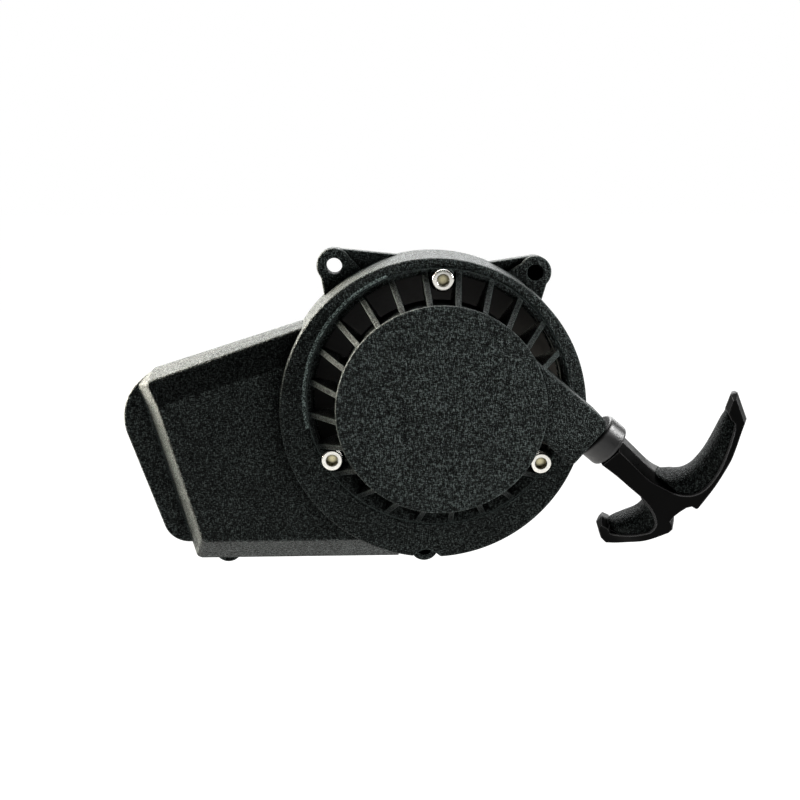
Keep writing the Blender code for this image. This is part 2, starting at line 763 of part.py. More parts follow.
# ------------------------------------------------------------- handle and rope
def make_rope_guide():
    """The glossy guide: a stem in the spout and a thick rounded collar."""
    radius = GUIDE_RADIUS
    profile = [
        (2.4, 49.0),
        (5.9, 49.0),
        (5.9, GUIDE_START),
        (radius - 1.4, GUIDE_START),
        (radius - 0.4, GUIDE_START + 0.5),
        (radius, GUIDE_START + 1.6),
        (radius, GUIDE_END - 1.8),
        (radius - 0.5, GUIDE_END - 0.6),
        (radius - 1.7, GUIDE_END),
        (4.6, GUIDE_END),
        (3.2, GUIDE_END - 0.8),
        (2.4, GUIDE_END - 2.6),
    ]
    return lay_along_x(turned("rope_guide", profile, 40))


def grip_outline():
    """Plan of the handle: x along the rope, y across; a long and a short arm."""
    neck_low = [(HANDLE_START, -6.0), (73.0, -5.9), (86.0, -6.0)]
    short_inner = [(89.9, -7.2), (91.6, -9.1), (92.3, -11.4), (92.2, -14.4), (91.2, -18.0), (89.5, -22.4)]
    short_end = [(87.6, -25.6), (86.0, -27.0), (86.1, -30.2), (90.6, -33.3), (94.6, -33.5)]
    short_outer = [(98.5, -29.4), (101.8, -23.7), (105.2, -16.8), (107.6, -9.4)]
    notch = [(107.2, -6.3), (105.0, -4.4), (103.7, -4.1), (103.3, -2.0), (103.3, 1.0), (103.5, 3.8),
             (104.1, 5.2), (106.2, 5.7)]
    long_outer = [(106.8, 7.4), (105.4, 13.3), (103.3, 20.7), (99.6, 30.6), (96.8, 36.3), (93.7, 42.1)]
    long_tip = [(91.6, 46.0), (80.9, 51.0), (79.6, 48.9), (81.6, 45.4)]
    long_inner = [(83.6, 41.6), (85.0, 38.8), (88.3, 31.6), (90.9, 24.6), (92.2, 18.9), (92.4, 15.4),
                  (91.6, 12.0), (90.0, 9.3), (87.9, 6.9)]
    neck_top = [(85.2, 4.9), (80.0, 4.6), (73.0, 4.8), (HANDLE_START, 5.2)]
    return [*neck_low, *short_inner, *short_end, *short_outer, *notch, *long_outer, *long_tip,
            *long_inner, *neck_top]


def arm_taper():
    """The room the handle fits in: full at the middle, thinner at both arms' ends."""
    side = [(LONG_ARM_HALF, 60.0), (LONG_ARM_HALF, 48.0), (GRIP_HALF + 0.1, 30.0),
            (GRIP_HALF + 0.1, -18.0), (SHORT_ARM_HALF, -30.0), (SHORT_ARM_HALF, -45.0)]
    other = [(-half, across) for half, across in reversed(side)]
    return lay_along_x(prism("arm_taper", [*side, *other], 60.0, 115.0))


def inward(outline, amount):
    """Offset a closed outline, listed clockwise, towards its inside."""
    count = len(outline)
    area = 0.0
    for index, (x, y) in enumerate(outline):
        after = outline[(index + 1) % count]
        area += x * after[1] - after[0] * y
    side = 1.0 if area > 0.0 else -1.0
    result = []
    for index in range(count):
        before = Vector(outline[index - 1])
        here = Vector(outline[index])
        after = Vector(outline[(index + 1) % count])
        first = (here - before).normalized()
        second = (after - here).normalized()
        normal_a = Vector((-first.y, first.x)) * side
        normal_b = Vector((-second.y, second.x)) * side
        mean = (normal_a + normal_b).normalized()
        stretch = min(1.0 / max(mean.dot(normal_a), 0.5), 1.6)
        moved = here + mean * amount * stretch
        result.append((moved.x, moved.y))
    return result


def make_handle():
    outline = grip_outline()
    sections = []
    for height, amount in ((-1.0, 1.5), (-0.92, 0.9), (0.0, 0.0), (0.92, 0.9), (1.0, 1.5)):
        sections.append((inward(outline, amount), height * GRIP_HALF))
    handle = loft("handle_grip", sections)
    combine(handle, arm_taper(), "INTERSECT", "EXACT")
    cut(handle, lay_along_x(cylinder("bore", (0.0, 0.0), ROPE_HOLE, 60.0, KNOT_SEAT + 1.0, 16)))
    cut(handle, lay_along_x(cylinder("pocket", (0.0, 0.0), KNOT_POCKET, KNOT_SEAT, 120.0, 24)))
    handle.rotation_euler = (radians(HANDLE_TURN), 0.0, 0.0)
    return handle


def make_knot(name, middle, radius):
    """A plain rounded knot; its turns are too small to matter to the fit."""
    rings = 7
    profile = [(0.0, middle - radius)]
    for index in range(1, rings):
        angle = pi * index / rings
        profile.append((radius * sin(angle), middle - radius * cos(angle)))
    profile.append((0.0, middle + radius))
    return turned(name, profile, 16)


# ---------------------------------------------------------------------- build
def build():
    clear_scene()
    casing = material("moulded_black", BLACK, 0.62, 0.0)
    gloss = material("gloss_black", (0.008, 0.008, 0.009), 0.22, 0.0)
    grip = material("grip_black", (0.014, 0.013, 0.013), 0.38, 0.0)
    zinc = material("bright_zinc", (0.78, 0.76, 0.70), 0.24, 1.0)
    brass = material("brass", (0.72, 0.50, 0.20), 0.30, 1.0)
    steel = material("sheet_steel", (0.55, 0.55, 0.54), 0.35, 1.0)
    blue_steel = material("spring_steel", (0.30, 0.31, 0.34), 0.30, 1.0)
    nylon = material("reel_nylon", (0.05, 0.05, 0.05), 0.48, 0.0)
    cord = material("black_cord", (0.02, 0.02, 0.02), 0.80, 0.0)

    stand = new_object("stand", None)
    stand.rotation_euler = (radians(90.0), 0.0, 0.0)
    line = new_object("rope_line", None)
    line.parent = stand
    line.matrix_basis = rope_matrix()

    cover = make_side_cover()
    cover.name = "side_cover"
    finish(cover, casing, stand, 28.0)
    finish(make_housing(), casing, stand, 28.0)

    for number, angle in enumerate(SCREW_ANGLES, start=1):
        spot = polar(SCREW_CIRCLE, angle)
        finish(make_cap_screw(f"cover_screw_{number}", spot), zinc, stand)
        insert = make_tube(f"screw_insert_{number}", spot, SCREW_HOLE_RADIUS, INSERT_RADIUS,
                           INSERT_LOW, REBATE_HEIGHT - 0.1)
        finish(insert, brass, stand)

    reel = finish(make_reel(), nylon, stand)
    coil = swept("rope_wound", wound_points(), circle_section(ROPE_RADIUS, 7))
    finish(coil, cord, reel, 60.0)
    knot = make_knot("rope_reel_knot", 35.5, REEL_KNOT)
    x, y = polar(POCKET_CIRCLE * MM, POCKET_ANGLE)
    knot.data.transform(Matrix.Translation((x, y, 0.0)))
    finish(knot, cord, reel, 60.0)
    finish(spiral_strip(), blue_steel, stand, 60.0)

    for side in range(2):
        finish(make_pawl(side), steel, reel)
        spot = polar(PAWL_CIRCLE, 180.0 * side)
        pin = cylinder(f"pawl_pin_{side + 1}", spot, 2.0, 27.4, GROOVE[0] - 0.7, 24)
        finish(pin, zinc, reel)
    finish(make_guide_plate(), steel, reel)
    finish(make_brake_spring(), blue_steel, stand, 60.0)
    finish(make_tube("centre_washer", (0.0, 0.0), 2.8, 9.0, 22.2, 23.4, 48), zinc, stand)
    finish(make_centre_screw(), zinc, stand)

    finish(make_rope_guide(), gloss, line)
    lead = turned("rope_lead", [(0, 0.0), (ROPE_RADIUS, 0.0), (ROPE_RADIUS, LEAD_END), (0, LEAD_END)], 12)
    finish(lay_along_x(lead), cord, line, 60.0)
    washer = make_tube("knot_washer", (0.0, 0.0), 1.8, 4.6, KNOT_SEAT + GAP, KNOT_SEAT + 1.3, 24)
    finish(lay_along_x(washer), zinc, line)
    end_knot = make_knot("rope_handle_knot", LEAD_END + GAP + END_KNOT, END_KNOT)
    finish(lay_along_x(end_knot), cord, line, 60.0)
    finish(make_handle(), grip, line, 40.0)


def make_centre_screw():
    """The screw that holds the mechanism on the post; its head faces the engine."""
    seat = 21.9
    screw = turned("centre_screw", [
        (0.0, 18.7),
        (4.3, 18.7),
        (4.8, 19.2),
        (4.8, seat),
        (2.4, seat),
        (2.4, 37.6),
        (1.9, 38.2),
        (0.0, 38.2),
    ], 32)
    hexagon = [polar(2.35, 60.0 * index) for index in range(6)]
    return cut(screw, prism("socket", hexagon, 16.0, 20.9))


build()
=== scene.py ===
import json
from math import atan2, cos, degrees, pi, radians, sin

import bmesh
import bpy
from mathutils import Matrix, Vector
from mathutils.bvhtree import BVHTree


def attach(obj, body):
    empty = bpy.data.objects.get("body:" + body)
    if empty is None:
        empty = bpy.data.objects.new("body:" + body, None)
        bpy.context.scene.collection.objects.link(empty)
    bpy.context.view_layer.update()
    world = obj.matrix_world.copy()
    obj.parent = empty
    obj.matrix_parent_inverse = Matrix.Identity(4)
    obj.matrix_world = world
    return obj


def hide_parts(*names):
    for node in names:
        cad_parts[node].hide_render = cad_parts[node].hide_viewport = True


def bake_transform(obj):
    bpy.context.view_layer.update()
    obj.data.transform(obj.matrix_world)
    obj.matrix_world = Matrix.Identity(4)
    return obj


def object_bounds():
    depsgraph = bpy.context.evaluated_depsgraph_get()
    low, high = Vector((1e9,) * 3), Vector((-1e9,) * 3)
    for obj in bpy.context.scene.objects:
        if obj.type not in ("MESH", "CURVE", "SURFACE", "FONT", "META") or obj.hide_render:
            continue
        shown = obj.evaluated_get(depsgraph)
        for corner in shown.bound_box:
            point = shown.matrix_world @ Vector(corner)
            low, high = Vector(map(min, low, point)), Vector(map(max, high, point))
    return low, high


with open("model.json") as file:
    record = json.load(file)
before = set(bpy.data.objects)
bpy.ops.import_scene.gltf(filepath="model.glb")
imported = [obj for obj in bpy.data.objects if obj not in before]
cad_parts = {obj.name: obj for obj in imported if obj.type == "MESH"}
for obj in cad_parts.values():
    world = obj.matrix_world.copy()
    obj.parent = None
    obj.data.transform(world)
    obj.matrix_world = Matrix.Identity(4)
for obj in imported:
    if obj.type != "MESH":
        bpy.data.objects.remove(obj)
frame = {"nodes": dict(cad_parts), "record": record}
cad_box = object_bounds()

MM = 0.001                       # metres in a millimetre
UPRIGHT = Matrix.Rotation(radians(90.0), 4, "X") @ Matrix.Scale(MM, 4)
SMALLEST = 1e-6                  # lengths below this count as nothing


# ------------------------------------------------------------------ materials
class Look:
    """A procedural material in the object's own coordinates, in metres."""

    def __init__(self, name):
        self.made = bpy.data.materials.new(name)
        self.made.use_nodes = True
        self.tree = self.made.node_tree
        self.shader = self.tree.nodes["Principled BSDF"]
        self.place = self.node("TexCoord").outputs["Object"]

    def node(self, kind, inputs=None, **settings):
        made = self.tree.nodes.new("ShaderNode" + kind)
        for key, value in settings.items():
            setattr(made, key, value)
        for key, value in (inputs or {}).items():
            self.feed(made.inputs[key], value)
        return made

    def feed(self, socket, value):
        if isinstance(value, bpy.types.NodeSocket):
            self.tree.links.new(value, socket)
        else:
            socket.default_value = value

    def set(self, **values):
        for key, value in values.items():
            self.feed(self.shader.inputs[key.replace("_", " ")], value)

    def math(self, operation, first, second=0.0):
        return self.node("Math", {0: first, 1: second}, operation=operation).outputs[0]

    def stretched(self, scale):
        return self.node("Mapping", {"Vector": self.place, "Scale": scale}).outputs[0]

    def noise(self, scale, detail=3.0, roughness=0.55, place=None):
        return self.node("TexNoise", {
            "Vector": place or self.place, "Scale": scale, "Detail": detail,
            "Roughness": roughness}).outputs["Fac"]

    def cells(self, scale):
        """Distance to the nearest border between irregular cells."""
        made = self.node("TexVoronoi", {"Vector": self.place, "Scale": scale}, feature="DISTANCE_TO_EDGE")
        return made.outputs["Distance"]

    def weighed(self, first, share, second, other):
        return self.math("ADD", self.math("MULTIPLY", first, share), self.math("MULTIPLY", second, other))

    def ramp(self, value, low, high, first, last):
        return self.node("MapRange", {0: value, 1: low, 2: high, 3: first, 4: last}).outputs[0]

    def shades(self, value, *stops):
        made = self.node("ValToRGB", {"Fac": value})
        line = made.color_ramp
        while len(line.elements) < len(stops):
            line.elements.new(0.5)
        for element, (spot, colour) in zip(line.elements, stops):
            element.position = spot
            element.color = (*colour, 1.0)
        return made.outputs["Color"]

    def mix(self, share, first, second, blend="MIX"):
        inputs = {0: share, 6: first, 7: second}
        return self.node("Mix", inputs, data_type="RGBA", blend_type=blend).outputs[2]

    def bump(self, height, strength, distance, normal=None):
        inputs = {"Height": height, "Strength": strength, "Distance": distance}
        if normal:
            inputs["Normal"] = normal
        self.set(Normal=self.node("Bump", inputs).outputs["Normal"])

    def edges(self, radius, samples=6):
        return self.node("Bevel", {"Radius": radius}, samples=samples).outputs["Normal"]

    def agreement(self, rounded):
        """1 where the rounded normal is the face's own, and less near an edge."""
        flat = self.node("NewGeometry").outputs["Normal"]
        return self.node("VectorMath", {0: rounded, 1: flat}, operation="DOT_PRODUCT").outputs["Value"]

    def openness(self, distance, samples):
        """1 on an open face, and less where the piece itself stands this close."""
        made = self.node("AmbientOcclusion", {"Distance": distance}, samples=samples, only_local=True)
        return made.outputs["AO"]


CAST = (0.86, 1.08, 1.02)        # the faint blue-green cast of the black moulding
GLINT_CAST = (0.90, 1.04, 1.0, 1.0)
GRAIN_SCALE = 2400.0             # threads of the moulding's grain in a metre
PIT_SCALE = 2000.0               # pits between the threads in a metre
BLOTCH_SCALE = 45.0
THREAD_WAYS = ((0.35, 1.0, 1.0), (1.0, 1.0, 0.35))
GRAIN_DEPTH = 0.0010
ROUNDING_AND_HIGHLIGHT_WIDTH = 0.0008               # width of the moulding's rounded edges, which also carry its painted highlight
CREVICE = 0.020                  # the moulding gets painted shade where it faces itself this close
STRAND_SCALE = 3800.0


def tinted(value):
    return tuple(value * share for share in CAST)


def wrinkled_plastic(name, base, glint, bump, edge, shine):
    """Black moulding from a spark-eroded tool: matt, with a fine sparkling grain.

    Its edges get a painted highlight of the edge value, and its crevices get painted shade.
    """
    look = Look(name)
    threads = [look.noise(GRAIN_SCALE, 1.0, 0.5, look.stretched(way)) for way in THREAD_WAYS]
    crinkle = look.weighed(look.math("ADD", *threads), 0.6, look.cells(PIT_SCALE), 0.4)
    broad = look.noise(BLOTCH_SCALE, 3.0, 0.5)
    tone = look.math("ADD", look.ramp(crinkle, 0.50, 0.90, 0.0, 1.0), look.ramp(broad, 0.3, 0.7, -0.06, 0.06))
    colour = look.shades(tone, (0.30, tinted(base * 0.15)), (0.50, tinted(base)), (0.78, tinted(glint)))
    rounded = look.edges(ROUNDING_AND_HIGHLIGHT_WIDTH)
    # painted shade: darker colour and weaker reflection where the piece faces itself
    open_share = look.openness(CREVICE, 6)
    depth = look.ramp(open_share, 0.45, 0.90, 0.06, 1.0)
    # painted highlight along the edges, kept out of the crevices
    painted_edge_light = look.ramp(look.agreement(rounded), 0.998, 0.92, 0.0, 0.6)
    edge_highlight_mask = look.math("MULTIPLY", painted_edge_light, look.ramp(open_share, 0.45, 0.7, 0.0, 1.0))
    colour = look.mix(edge_highlight_mask, colour, (*tinted(edge), 1.0))
    look.set(Base_Color=look.mix(1.0, colour, depth, "MULTIPLY"))
    look.set(Roughness=look.ramp(crinkle, 0.4, 1.0, 0.60, 0.36))
    glance = look.ramp(crinkle, 0.5, 0.9, 0.1 * shine, shine)
    look.set(Specular_IOR_Level=look.math("MULTIPLY", glance, depth))
    look.shader.inputs["Specular Tint"].default_value = GLINT_CAST
    look.bump(crinkle, bump, GRAIN_DEPTH, rounded)
    return look.made


def metal(name, colour, roughness, grain=900.0, stretch=(1.0, 1.0, 1.0), bump=0.08, depth=0.0):
    """Finely grained metal, with painted shade where it faces itself closer than the depth."""
    look = Look(name)
    fine = look.noise(grain, 4.0, 0.6, look.stretched(stretch))
    broad = look.noise(90.0, 2.0, 0.5)
    dark = tuple(channel * 0.72 for channel in colour)
    shade = look.shades(look.weighed(fine, 0.7, broad, 0.4), (0.35, dark), (0.7, colour))
    # painted shade in hollows, such as a socket's corners
    if depth:
        shade = look.mix(1.0, shade, look.ramp(look.openness(depth, 8), 0.25, 0.75, 0.03, 1.0), "MULTIPLY")
    look.set(Base_Color=shade)
    look.set(Roughness=look.ramp(fine, 0.3, 0.7, roughness * 0.75, roughness * 1.3))
    look.shader.inputs["Metallic"].default_value = 1.0
    look.bump(fine, bump, 0.0001, look.edges(0.00025, 4))
    return look.made


def smooth_plastic(name, base, roughness, bump=0.12, gloss=0.4, edge=0.0):
    """Plain black plastic, with a painted highlight of the edge value along its edges."""
    look = Look(name)
    look.shader.inputs["Specular IOR Level"].default_value = gloss
    fine = look.noise(700.0, 3.0, 0.55)
    broad = look.noise(60.0, 3.0, 0.55)
    rounded = look.edges(0.0005)
    colour = look.shades(broad, (0.3, (base * 0.7,) * 3), (0.7, (base * 1.3,) * 3))
    # painted highlight along the edges
    edge_highlight_mask = look.ramp(look.agreement(rounded), 0.995, 0.93, 0.0, 0.9)
    look.set(Base_Color=look.mix(edge_highlight_mask, colour, (base + edge, base + edge, base + edge, 1.0)))
    look.set(Roughness=look.ramp(look.math("ADD", fine, broad), 0.7, 1.3, roughness * 0.8, roughness * 1.25))
    look.bump(fine, bump, 0.00008, rounded)
    return look.made


def braided_cord(name, base):
    """Crossing strands, each a sine wave that leans along the cord."""
    look = Look(name)
    split = look.node("SeparateXYZ", {"Vector": look.place})
    along = look.math("ADD", split.outputs["X"], look.math("MULTIPLY", split.outputs["Z"], -0.85))
    across = look.math("ADD", split.outputs["Y"], look.math("MULTIPLY", split.outputs["Z"], 0.5))
    strands = [look.math("SINE", look.math("MULTIPLY", look.math(way, along, across), STRAND_SCALE))
               for way in ("ADD", "SUBTRACT")]
    braid = look.math("MAXIMUM", *strands)
    height = look.ramp(braid, -1.0, 1.0, 0.0, 1.0)
    look.set(Base_Color=look.shades(height, (0.2, (base * 0.3,) * 3), (0.9, (base * 1.6,) * 3)))
    look.shader.inputs["Roughness"].default_value = 0.72
    look.shader.inputs["Sheen Weight"].default_value = 0.25
    look.bump(braid, 0.8, 0.0003)
    return look.made


def looks_of(kind, **wanted):
    return {name: kind(name, **values) for name, values in wanted.items()}


LOOKS = {
    **looks_of(
        wrinkled_plastic,
        moulded_black=dict(base=0.010, glint=0.072, bump=1.0, edge=0.13, shine=0.33),
        grained_pad=dict(base=0.001, glint=0.03, bump=0.7, edge=0.012, shine=0.16),
        shaded_facet=dict(base=0.004, glint=0.020, bump=1.0, edge=0.10, shine=0.2),
        # the ribs' darker copy of the moulding is painted shade
        rib_black=dict(base=0.005, glint=0.034, bump=0.9, edge=0.08, shine=0.2),
        # the bevel's light grey look is a painted highlight
        rubbed_bevel=dict(base=0.22, glint=0.38, bump=0.4, edge=0.36, shine=0.3)),
    **looks_of(
        smooth_plastic,
        gloss_black=dict(base=0.006, roughness=0.42, bump=0.03, gloss=0.5),
        grip_black=dict(base=0.0015, roughness=0.32, gloss=0.03, edge=0.13),
        reel_nylon=dict(base=0.035, roughness=0.45),
        # the funnel's near-black look is painted shade
        bell_mouth=dict(base=0.0015, roughness=0.5, gloss=0.05)),
    **looks_of(
        metal,
        bright_zinc=dict(colour=(0.93, 0.91, 0.84), roughness=0.2),
        brass=dict(colour=(0.78, 0.56, 0.24), roughness=0.28),
        sheet_steel=dict(
            colour=(0.56, 0.56, 0.55), roughness=0.36, grain=700.0, stretch=(1.0, 1.0, 0.12), bump=0.15),
        spring_steel=dict(colour=(0.26, 0.27, 0.31), roughness=0.30, grain=700.0),
        socket_metal=dict(colour=(0.72, 0.66, 0.42), roughness=0.35, depth=0.0022)),
    **looks_of(braided_cord, black_cord=dict(base=0.03)),
}
NODE_SLOT = {entry["node"]: entry["material_slot"] for entry in frame["record"]["subparts"]}

for name, node in frame["nodes"].items():
    node.data.materials.clear()
    node.data.materials.append(LOOKS[NODE_SLOT[name]])
    node.data.shade_smooth()
    node.data.set_sharp_from_angle(angle=radians(30.0))


# ------------------------------------------------- sizes of the part, in mm
SHROUD = (-1.7, -5.5)            # centre of the fan shroud
SHROUD_RADIUS = 62.8
SHROUD_HEIGHT = 28.0
WALL = 2.5
COVER_HEIGHT = 22.0
COVER_ROUND = 0.9                # radius of the sprocket cover's upper edge
ROUND_FOOT = 0.06                # share of the walls' slope that lies in that rounding
FACET_DROP = 2.0                 # how far the strip above the crease slopes down
FACET_WIDTH = 13.0
FLANGE_HEIGHT = 9.0
MOUTH_RADIUS = 53.5
LEFT_LUG = (-42.0, 52.4)
RIGHT_LUG = (41.6, 49.4)
BOTTOM_LUG = (-4.0, -71.7)
LUG_HEIGHT = 8.0
LUG_HOLE = 3.3
WEB_HEIGHT = 5.5
SCREW_ANGLES = (88.6, 208.6, 328.6)
SCREW_CIRCLE = 49.2
BOSS_TOP = 28.5
DISC_RADIUS = 41.3
DISC_HEIGHT = 49.0
CUP_OUTER = 40.6
CUP_INNER = 37.6
CUP_BACK = 24.0
CUP_ROOF = 46.4
RIBS = 21
RIB_START = 21.4                 # direction of the first rib
RIB_STEP = 15.0
PULL_ANGLE = -40.3
ROPE_OFFSET = 31.2
ROPE_HEIGHT = 37.0
SPOUT_END = 54.8
SPOUT_LOW = -15.1
SPOUT_HIGH = 7.2
SPOUT_BACK = 28.4
SPOUT_FACE = 47.0
SPOUT_ROUND = 1.1
GUIDE_START = 55.4
GUIDE_END = 64.6
HANDLE_TURN = 20.0               # how far the handle is turned about the rope
ROPE_HOLE = 2.1
KNOT_SEAT = 94.0
KNOT_POCKET = 4.9
BELOW, ABOVE = -2.0, 40.0        # heights clear of the cover on both sides


# ------------------------------------------------------------------- geometry
AXIS = (0.0, 0.0)                # where the starter's axis stands
NEARLY_STRAIGHT = radians(178.0)
CORNER_SHARE = 0.48              # share of a side that one rounded corner may take
MITRE_LIMIT = 1.5                # the furthest that an offset corner moves, in offsets
FINE = 168                       # flats round the largest circles
CURVE_STEPS = 16                 # steps between two points of a smooth curve
ON_SHAPE = 0.05                  # faces this close to a shape lie on it


def polar(radius, direction, centre=AXIS):
    angle = radians(direction)
    return (centre[0] + radius * cos(angle), centre[1] + radius * sin(angle))


def direction_of(spot, centre=AXIS):
    return degrees(atan2(spot[1] - centre[1], spot[0] - centre[0]))


def arc(centre, radius, first, last, count):
    step = (last - first) / (count - 1)
    return [polar(radius, first + step * index, centre) for index in range(count)]


def fillet(outline, radius, steps=3):
    """Round a closed outline's corners, each between the ends of an arc of its radius."""
    result = []
    count = len(outline)
    for index in range(count):
        here = Vector(outline[index])
        before = Vector(outline[index - 1]) - here
        after = Vector(outline[(index + 1) % count]) - here
        turn = before.angle(after)
        size = radius[index] if isinstance(radius, (list, tuple)) else radius
        if size <= 0.0 or turn > NEARLY_STRAIGHT:
            result.append(tuple(here))
            continue
        slope = max(sin(turn / 2.0) / cos(turn / 2.0), SMALLEST)
        reach = min(size / slope, CORNER_SHARE * before.length, CORNER_SHARE * after.length)
        first = here + before.normalized() * reach
        last = here + after.normalized() * reach
        for step in range(steps + 1):
            share = step / steps
            mixed = first.lerp(here, share).lerp(here.lerp(last, share), share)
            result.append(tuple(mixed))
    return result


def inward(outline, amount):
    """Offset a closed outline towards its inside; a negative amount grows it."""
    count = len(outline)
    area = sum(outline[i][0] * outline[(i + 1) % count][1] - outline[(i + 1) % count][0] * outline[i][1]
               for i in range(count))
    side = 1.0 if area > 0.0 else -1.0
    result = []
    for index in range(count):
        here = Vector(outline[index])
        first = (here - Vector(outline[index - 1])).normalized()
        second = (Vector(outline[(index + 1) % count]) - here).normalized()
        normals = [Vector((-way.y, way.x)) * side for way in (first, second)]
        mean = (normals[0] + normals[1]).normalized()
        stretch = min(1.0 / max(mean.dot(normals[0]), SMALLEST), MITRE_LIMIT)
        result.append(tuple(here + mean * amount * stretch))
    return result


def placed(name, data):
    made = bpy.data.objects.new(name, data)
    bpy.context.scene.collection.objects.link(made)
    return made


def object_from(name, bm):
    bmesh.ops.recalc_face_normals(bm, faces=bm.faces)
    sheet = bpy.data.meshes.new(name)
    bm.to_mesh(sheet)
    bm.free()
    return placed(name, sheet)


def bridge(bm, lower, upper):
    for index in range(len(lower)):
        after = (index + 1) % len(lower)
        bm.faces.new((lower[index], lower[after], upper[after], upper[index]))


def loft(name, sections):
    """A solid through closed sections, each a list of points in space."""
    bm = bmesh.new()
    loops = [[bm.verts.new(point) for point in section] for section in sections]
    for lower, upper in zip(loops, loops[1:]):
        bridge(bm, lower, upper)
    bm.faces.new(list(reversed(loops[0])))
    bm.faces.new(loops[-1])
    return object_from(name, bm)


def level(outline, height):
    return [(x, y, height) for x, y in outline]


def quarter_round(radius, steps):
    """Points round an upper edge: how far in and how far down each one lies."""
    for index in range(steps + 1 if radius > 0.0 else 1):
        angle = pi / 2.0 * index / steps
        yield radius * (1.0 - cos(angle)), radius * (1.0 - sin(angle))


def slab(name, outline, low, high, top, bottom=0.0, steps=3):
    """An upright solid on an outline, with rounded upper and lower edges."""
    sections = [level(inward(outline, inset), low + rise) for rise, inset in quarter_round(bottom, steps)]
    sections += [level(inward(outline, inset), high - drop) for inset, drop in quarter_round(top, steps)]
    return loft(name, sections)


def turned(name, profile, steps=144, centre=AXIS, wave=None):
    """Turn a closed profile of (radius, height) about the upright axis."""
    bm = bmesh.new()
    rings = []
    for radius, height in profile:
        if radius < SMALLEST:
            rings.append([bm.verts.new((*centre, height))])
            continue
        ring = []
        for index in range(steps):
            size = radius + (wave(index, radius, height) if wave else 0.0)
            ring.append(bm.verts.new((*polar(size, 360.0 * index / steps, centre), height)))
        rings.append(ring)
    for inner, outer in zip(rings, rings[1:] + rings[:1]):
        if len(inner) == 1 and len(outer) == 1:
            continue
        for index in range(steps):
            after = (index + 1) % steps
            if len(inner) == 1:
                bm.faces.new((inner[0], outer[index], outer[after]))
            elif len(outer) == 1:
                bm.faces.new((inner[index], outer[0], inner[after]))
            else:
                bm.faces.new((inner[index], outer[index], outer[after], inner[after]))
    return object_from(name, bm)


def cylinder(centre, radius, low, high, steps=64):
    return turned("cylinder", [(0, low), (radius, low), (radius, high), (0, high)], steps, centre)


def heading(points, index):
    """The way a line of points runs at one of them."""
    return (points[min(index + 1, len(points) - 1)] - points[max(index - 1, 0)]).normalized()


def tube(name, points, radius, sides, taper=None):
    """A round bar along a line of points, with flat ends."""
    sections = []
    points = [Vector(point) for point in points]
    for index, point in enumerate(points):
        along = heading(points, index)
        side = along.cross(Vector((0.0, 0.0, 1.0)))
        side = side.normalized() if side.length > SMALLEST else Vector((1.0, 0.0, 0.0))
        rise = side.cross(along)
        size = radius * (taper(index / (len(points) - 1)) if taper else 1.0)
        turns = [2.0 * pi * step / sides for step in range(sides)]
        sections.append([tuple(point + side * size * cos(turn) + rise * size * sin(turn)) for turn in turns])
    return loft(name, sections)


def bend_mesh(item, places, way, nearest, height):
    """Slice a mesh across the way at each place, then give its points new heights."""
    bm = bmesh.new()
    bm.from_mesh(item.data)
    for place in places:
        bmesh.ops.bisect_plane(bm, geom=bm.verts[:] + bm.edges[:] + bm.faces[:], dist=nearest,
                               plane_co=(*place, 0.0), plane_no=(*way, 0.0))
    for vert in bm.verts:
        vert.co.z = height(vert.co)
    bm.to_mesh(item.data)
    bm.free()


def combine(target, other, operation):
    modifier = target.modifiers.new("combine", "BOOLEAN")
    modifier.operation = operation
    modifier.solver = "MANIFOLD"
    modifier.object = other
    bpy.context.view_layer.update()
    result = bpy.data.meshes.new_from_object(target.evaluated_get(bpy.context.evaluated_depsgraph_get()))
    target.modifiers.clear()
    target.data = result
    bpy.data.objects.remove(other, do_unlink=True)
    return target


def looks_where(target, *tests):
    """Give each face the look after the piece's own whose test it passes."""
    target.data.materials.clear()
    for _ in range(len(tests) + 1):
        target.data.materials.append(None)
    for face in target.data.polygons:
        passed = [index for index, test in enumerate(tests, start=1) if test(face.center, face.normal)]
        face.material_index = passed[0] if passed else 0


def second_look(target, shape):
    """Give the target's faces that lie on this shape the piece's second look."""
    tree = BVHTree.FromPolygons([vert.co for vert in shape.data.vertices],
                                [face.vertices for face in shape.data.polygons])
    looks_where(target, lambda spot, normal: tree.find_nearest(spot, ON_SHAPE)[0] is not None)
    bpy.data.objects.remove(shape, do_unlink=True)


def twin(item):
    return placed(item.name, item.data.copy())


def join(target, *others):
    for other in others:
        combine(target, other, "UNION")
    return target


def cut(target, *others):
    for other in others:
        combine(target, other, "DIFFERENCE")
    return target


def keep(target, other):
    return combine(target, other, "INTERSECT")


def smooth_curve(points, count):
    """Points at even steps along a smooth curve through the given points."""
    points = [Vector(point) for point in points]
    line = [points[0] * 2.0 - points[1], *points, points[-1] * 2.0 - points[-2]]
    dense = []
    for before, first, second, after in zip(line, line[1:], line[2:], line[3:]):
        bend = 2.0 * before - 5.0 * first + 4.0 * second - after
        swing = 3.0 * first - before - 3.0 * second + after
        for step in range(CURVE_STEPS):
            share = step / CURVE_STEPS
            moved = 2.0 * first + (second - before) * share + bend * share * share + swing * share ** 3
            dense.append(0.5 * moved)
    dense.append(points[-1])
    lengths = [0.0]
    for first, second in zip(dense, dense[1:]):
        lengths.append(lengths[-1] + (second - first).length)
    result = []
    at = 0
    for index in range(count):
        goal = lengths[-1] * index / (count - 1)
        while at < len(dense) - 2 and lengths[at + 1] < goal:
            at += 1
        span = max(lengths[at + 1] - lengths[at], 1e-9)
        result.append(dense[at].lerp(dense[at + 1], min((goal - lengths[at]) / span, 1.0)))
    return result


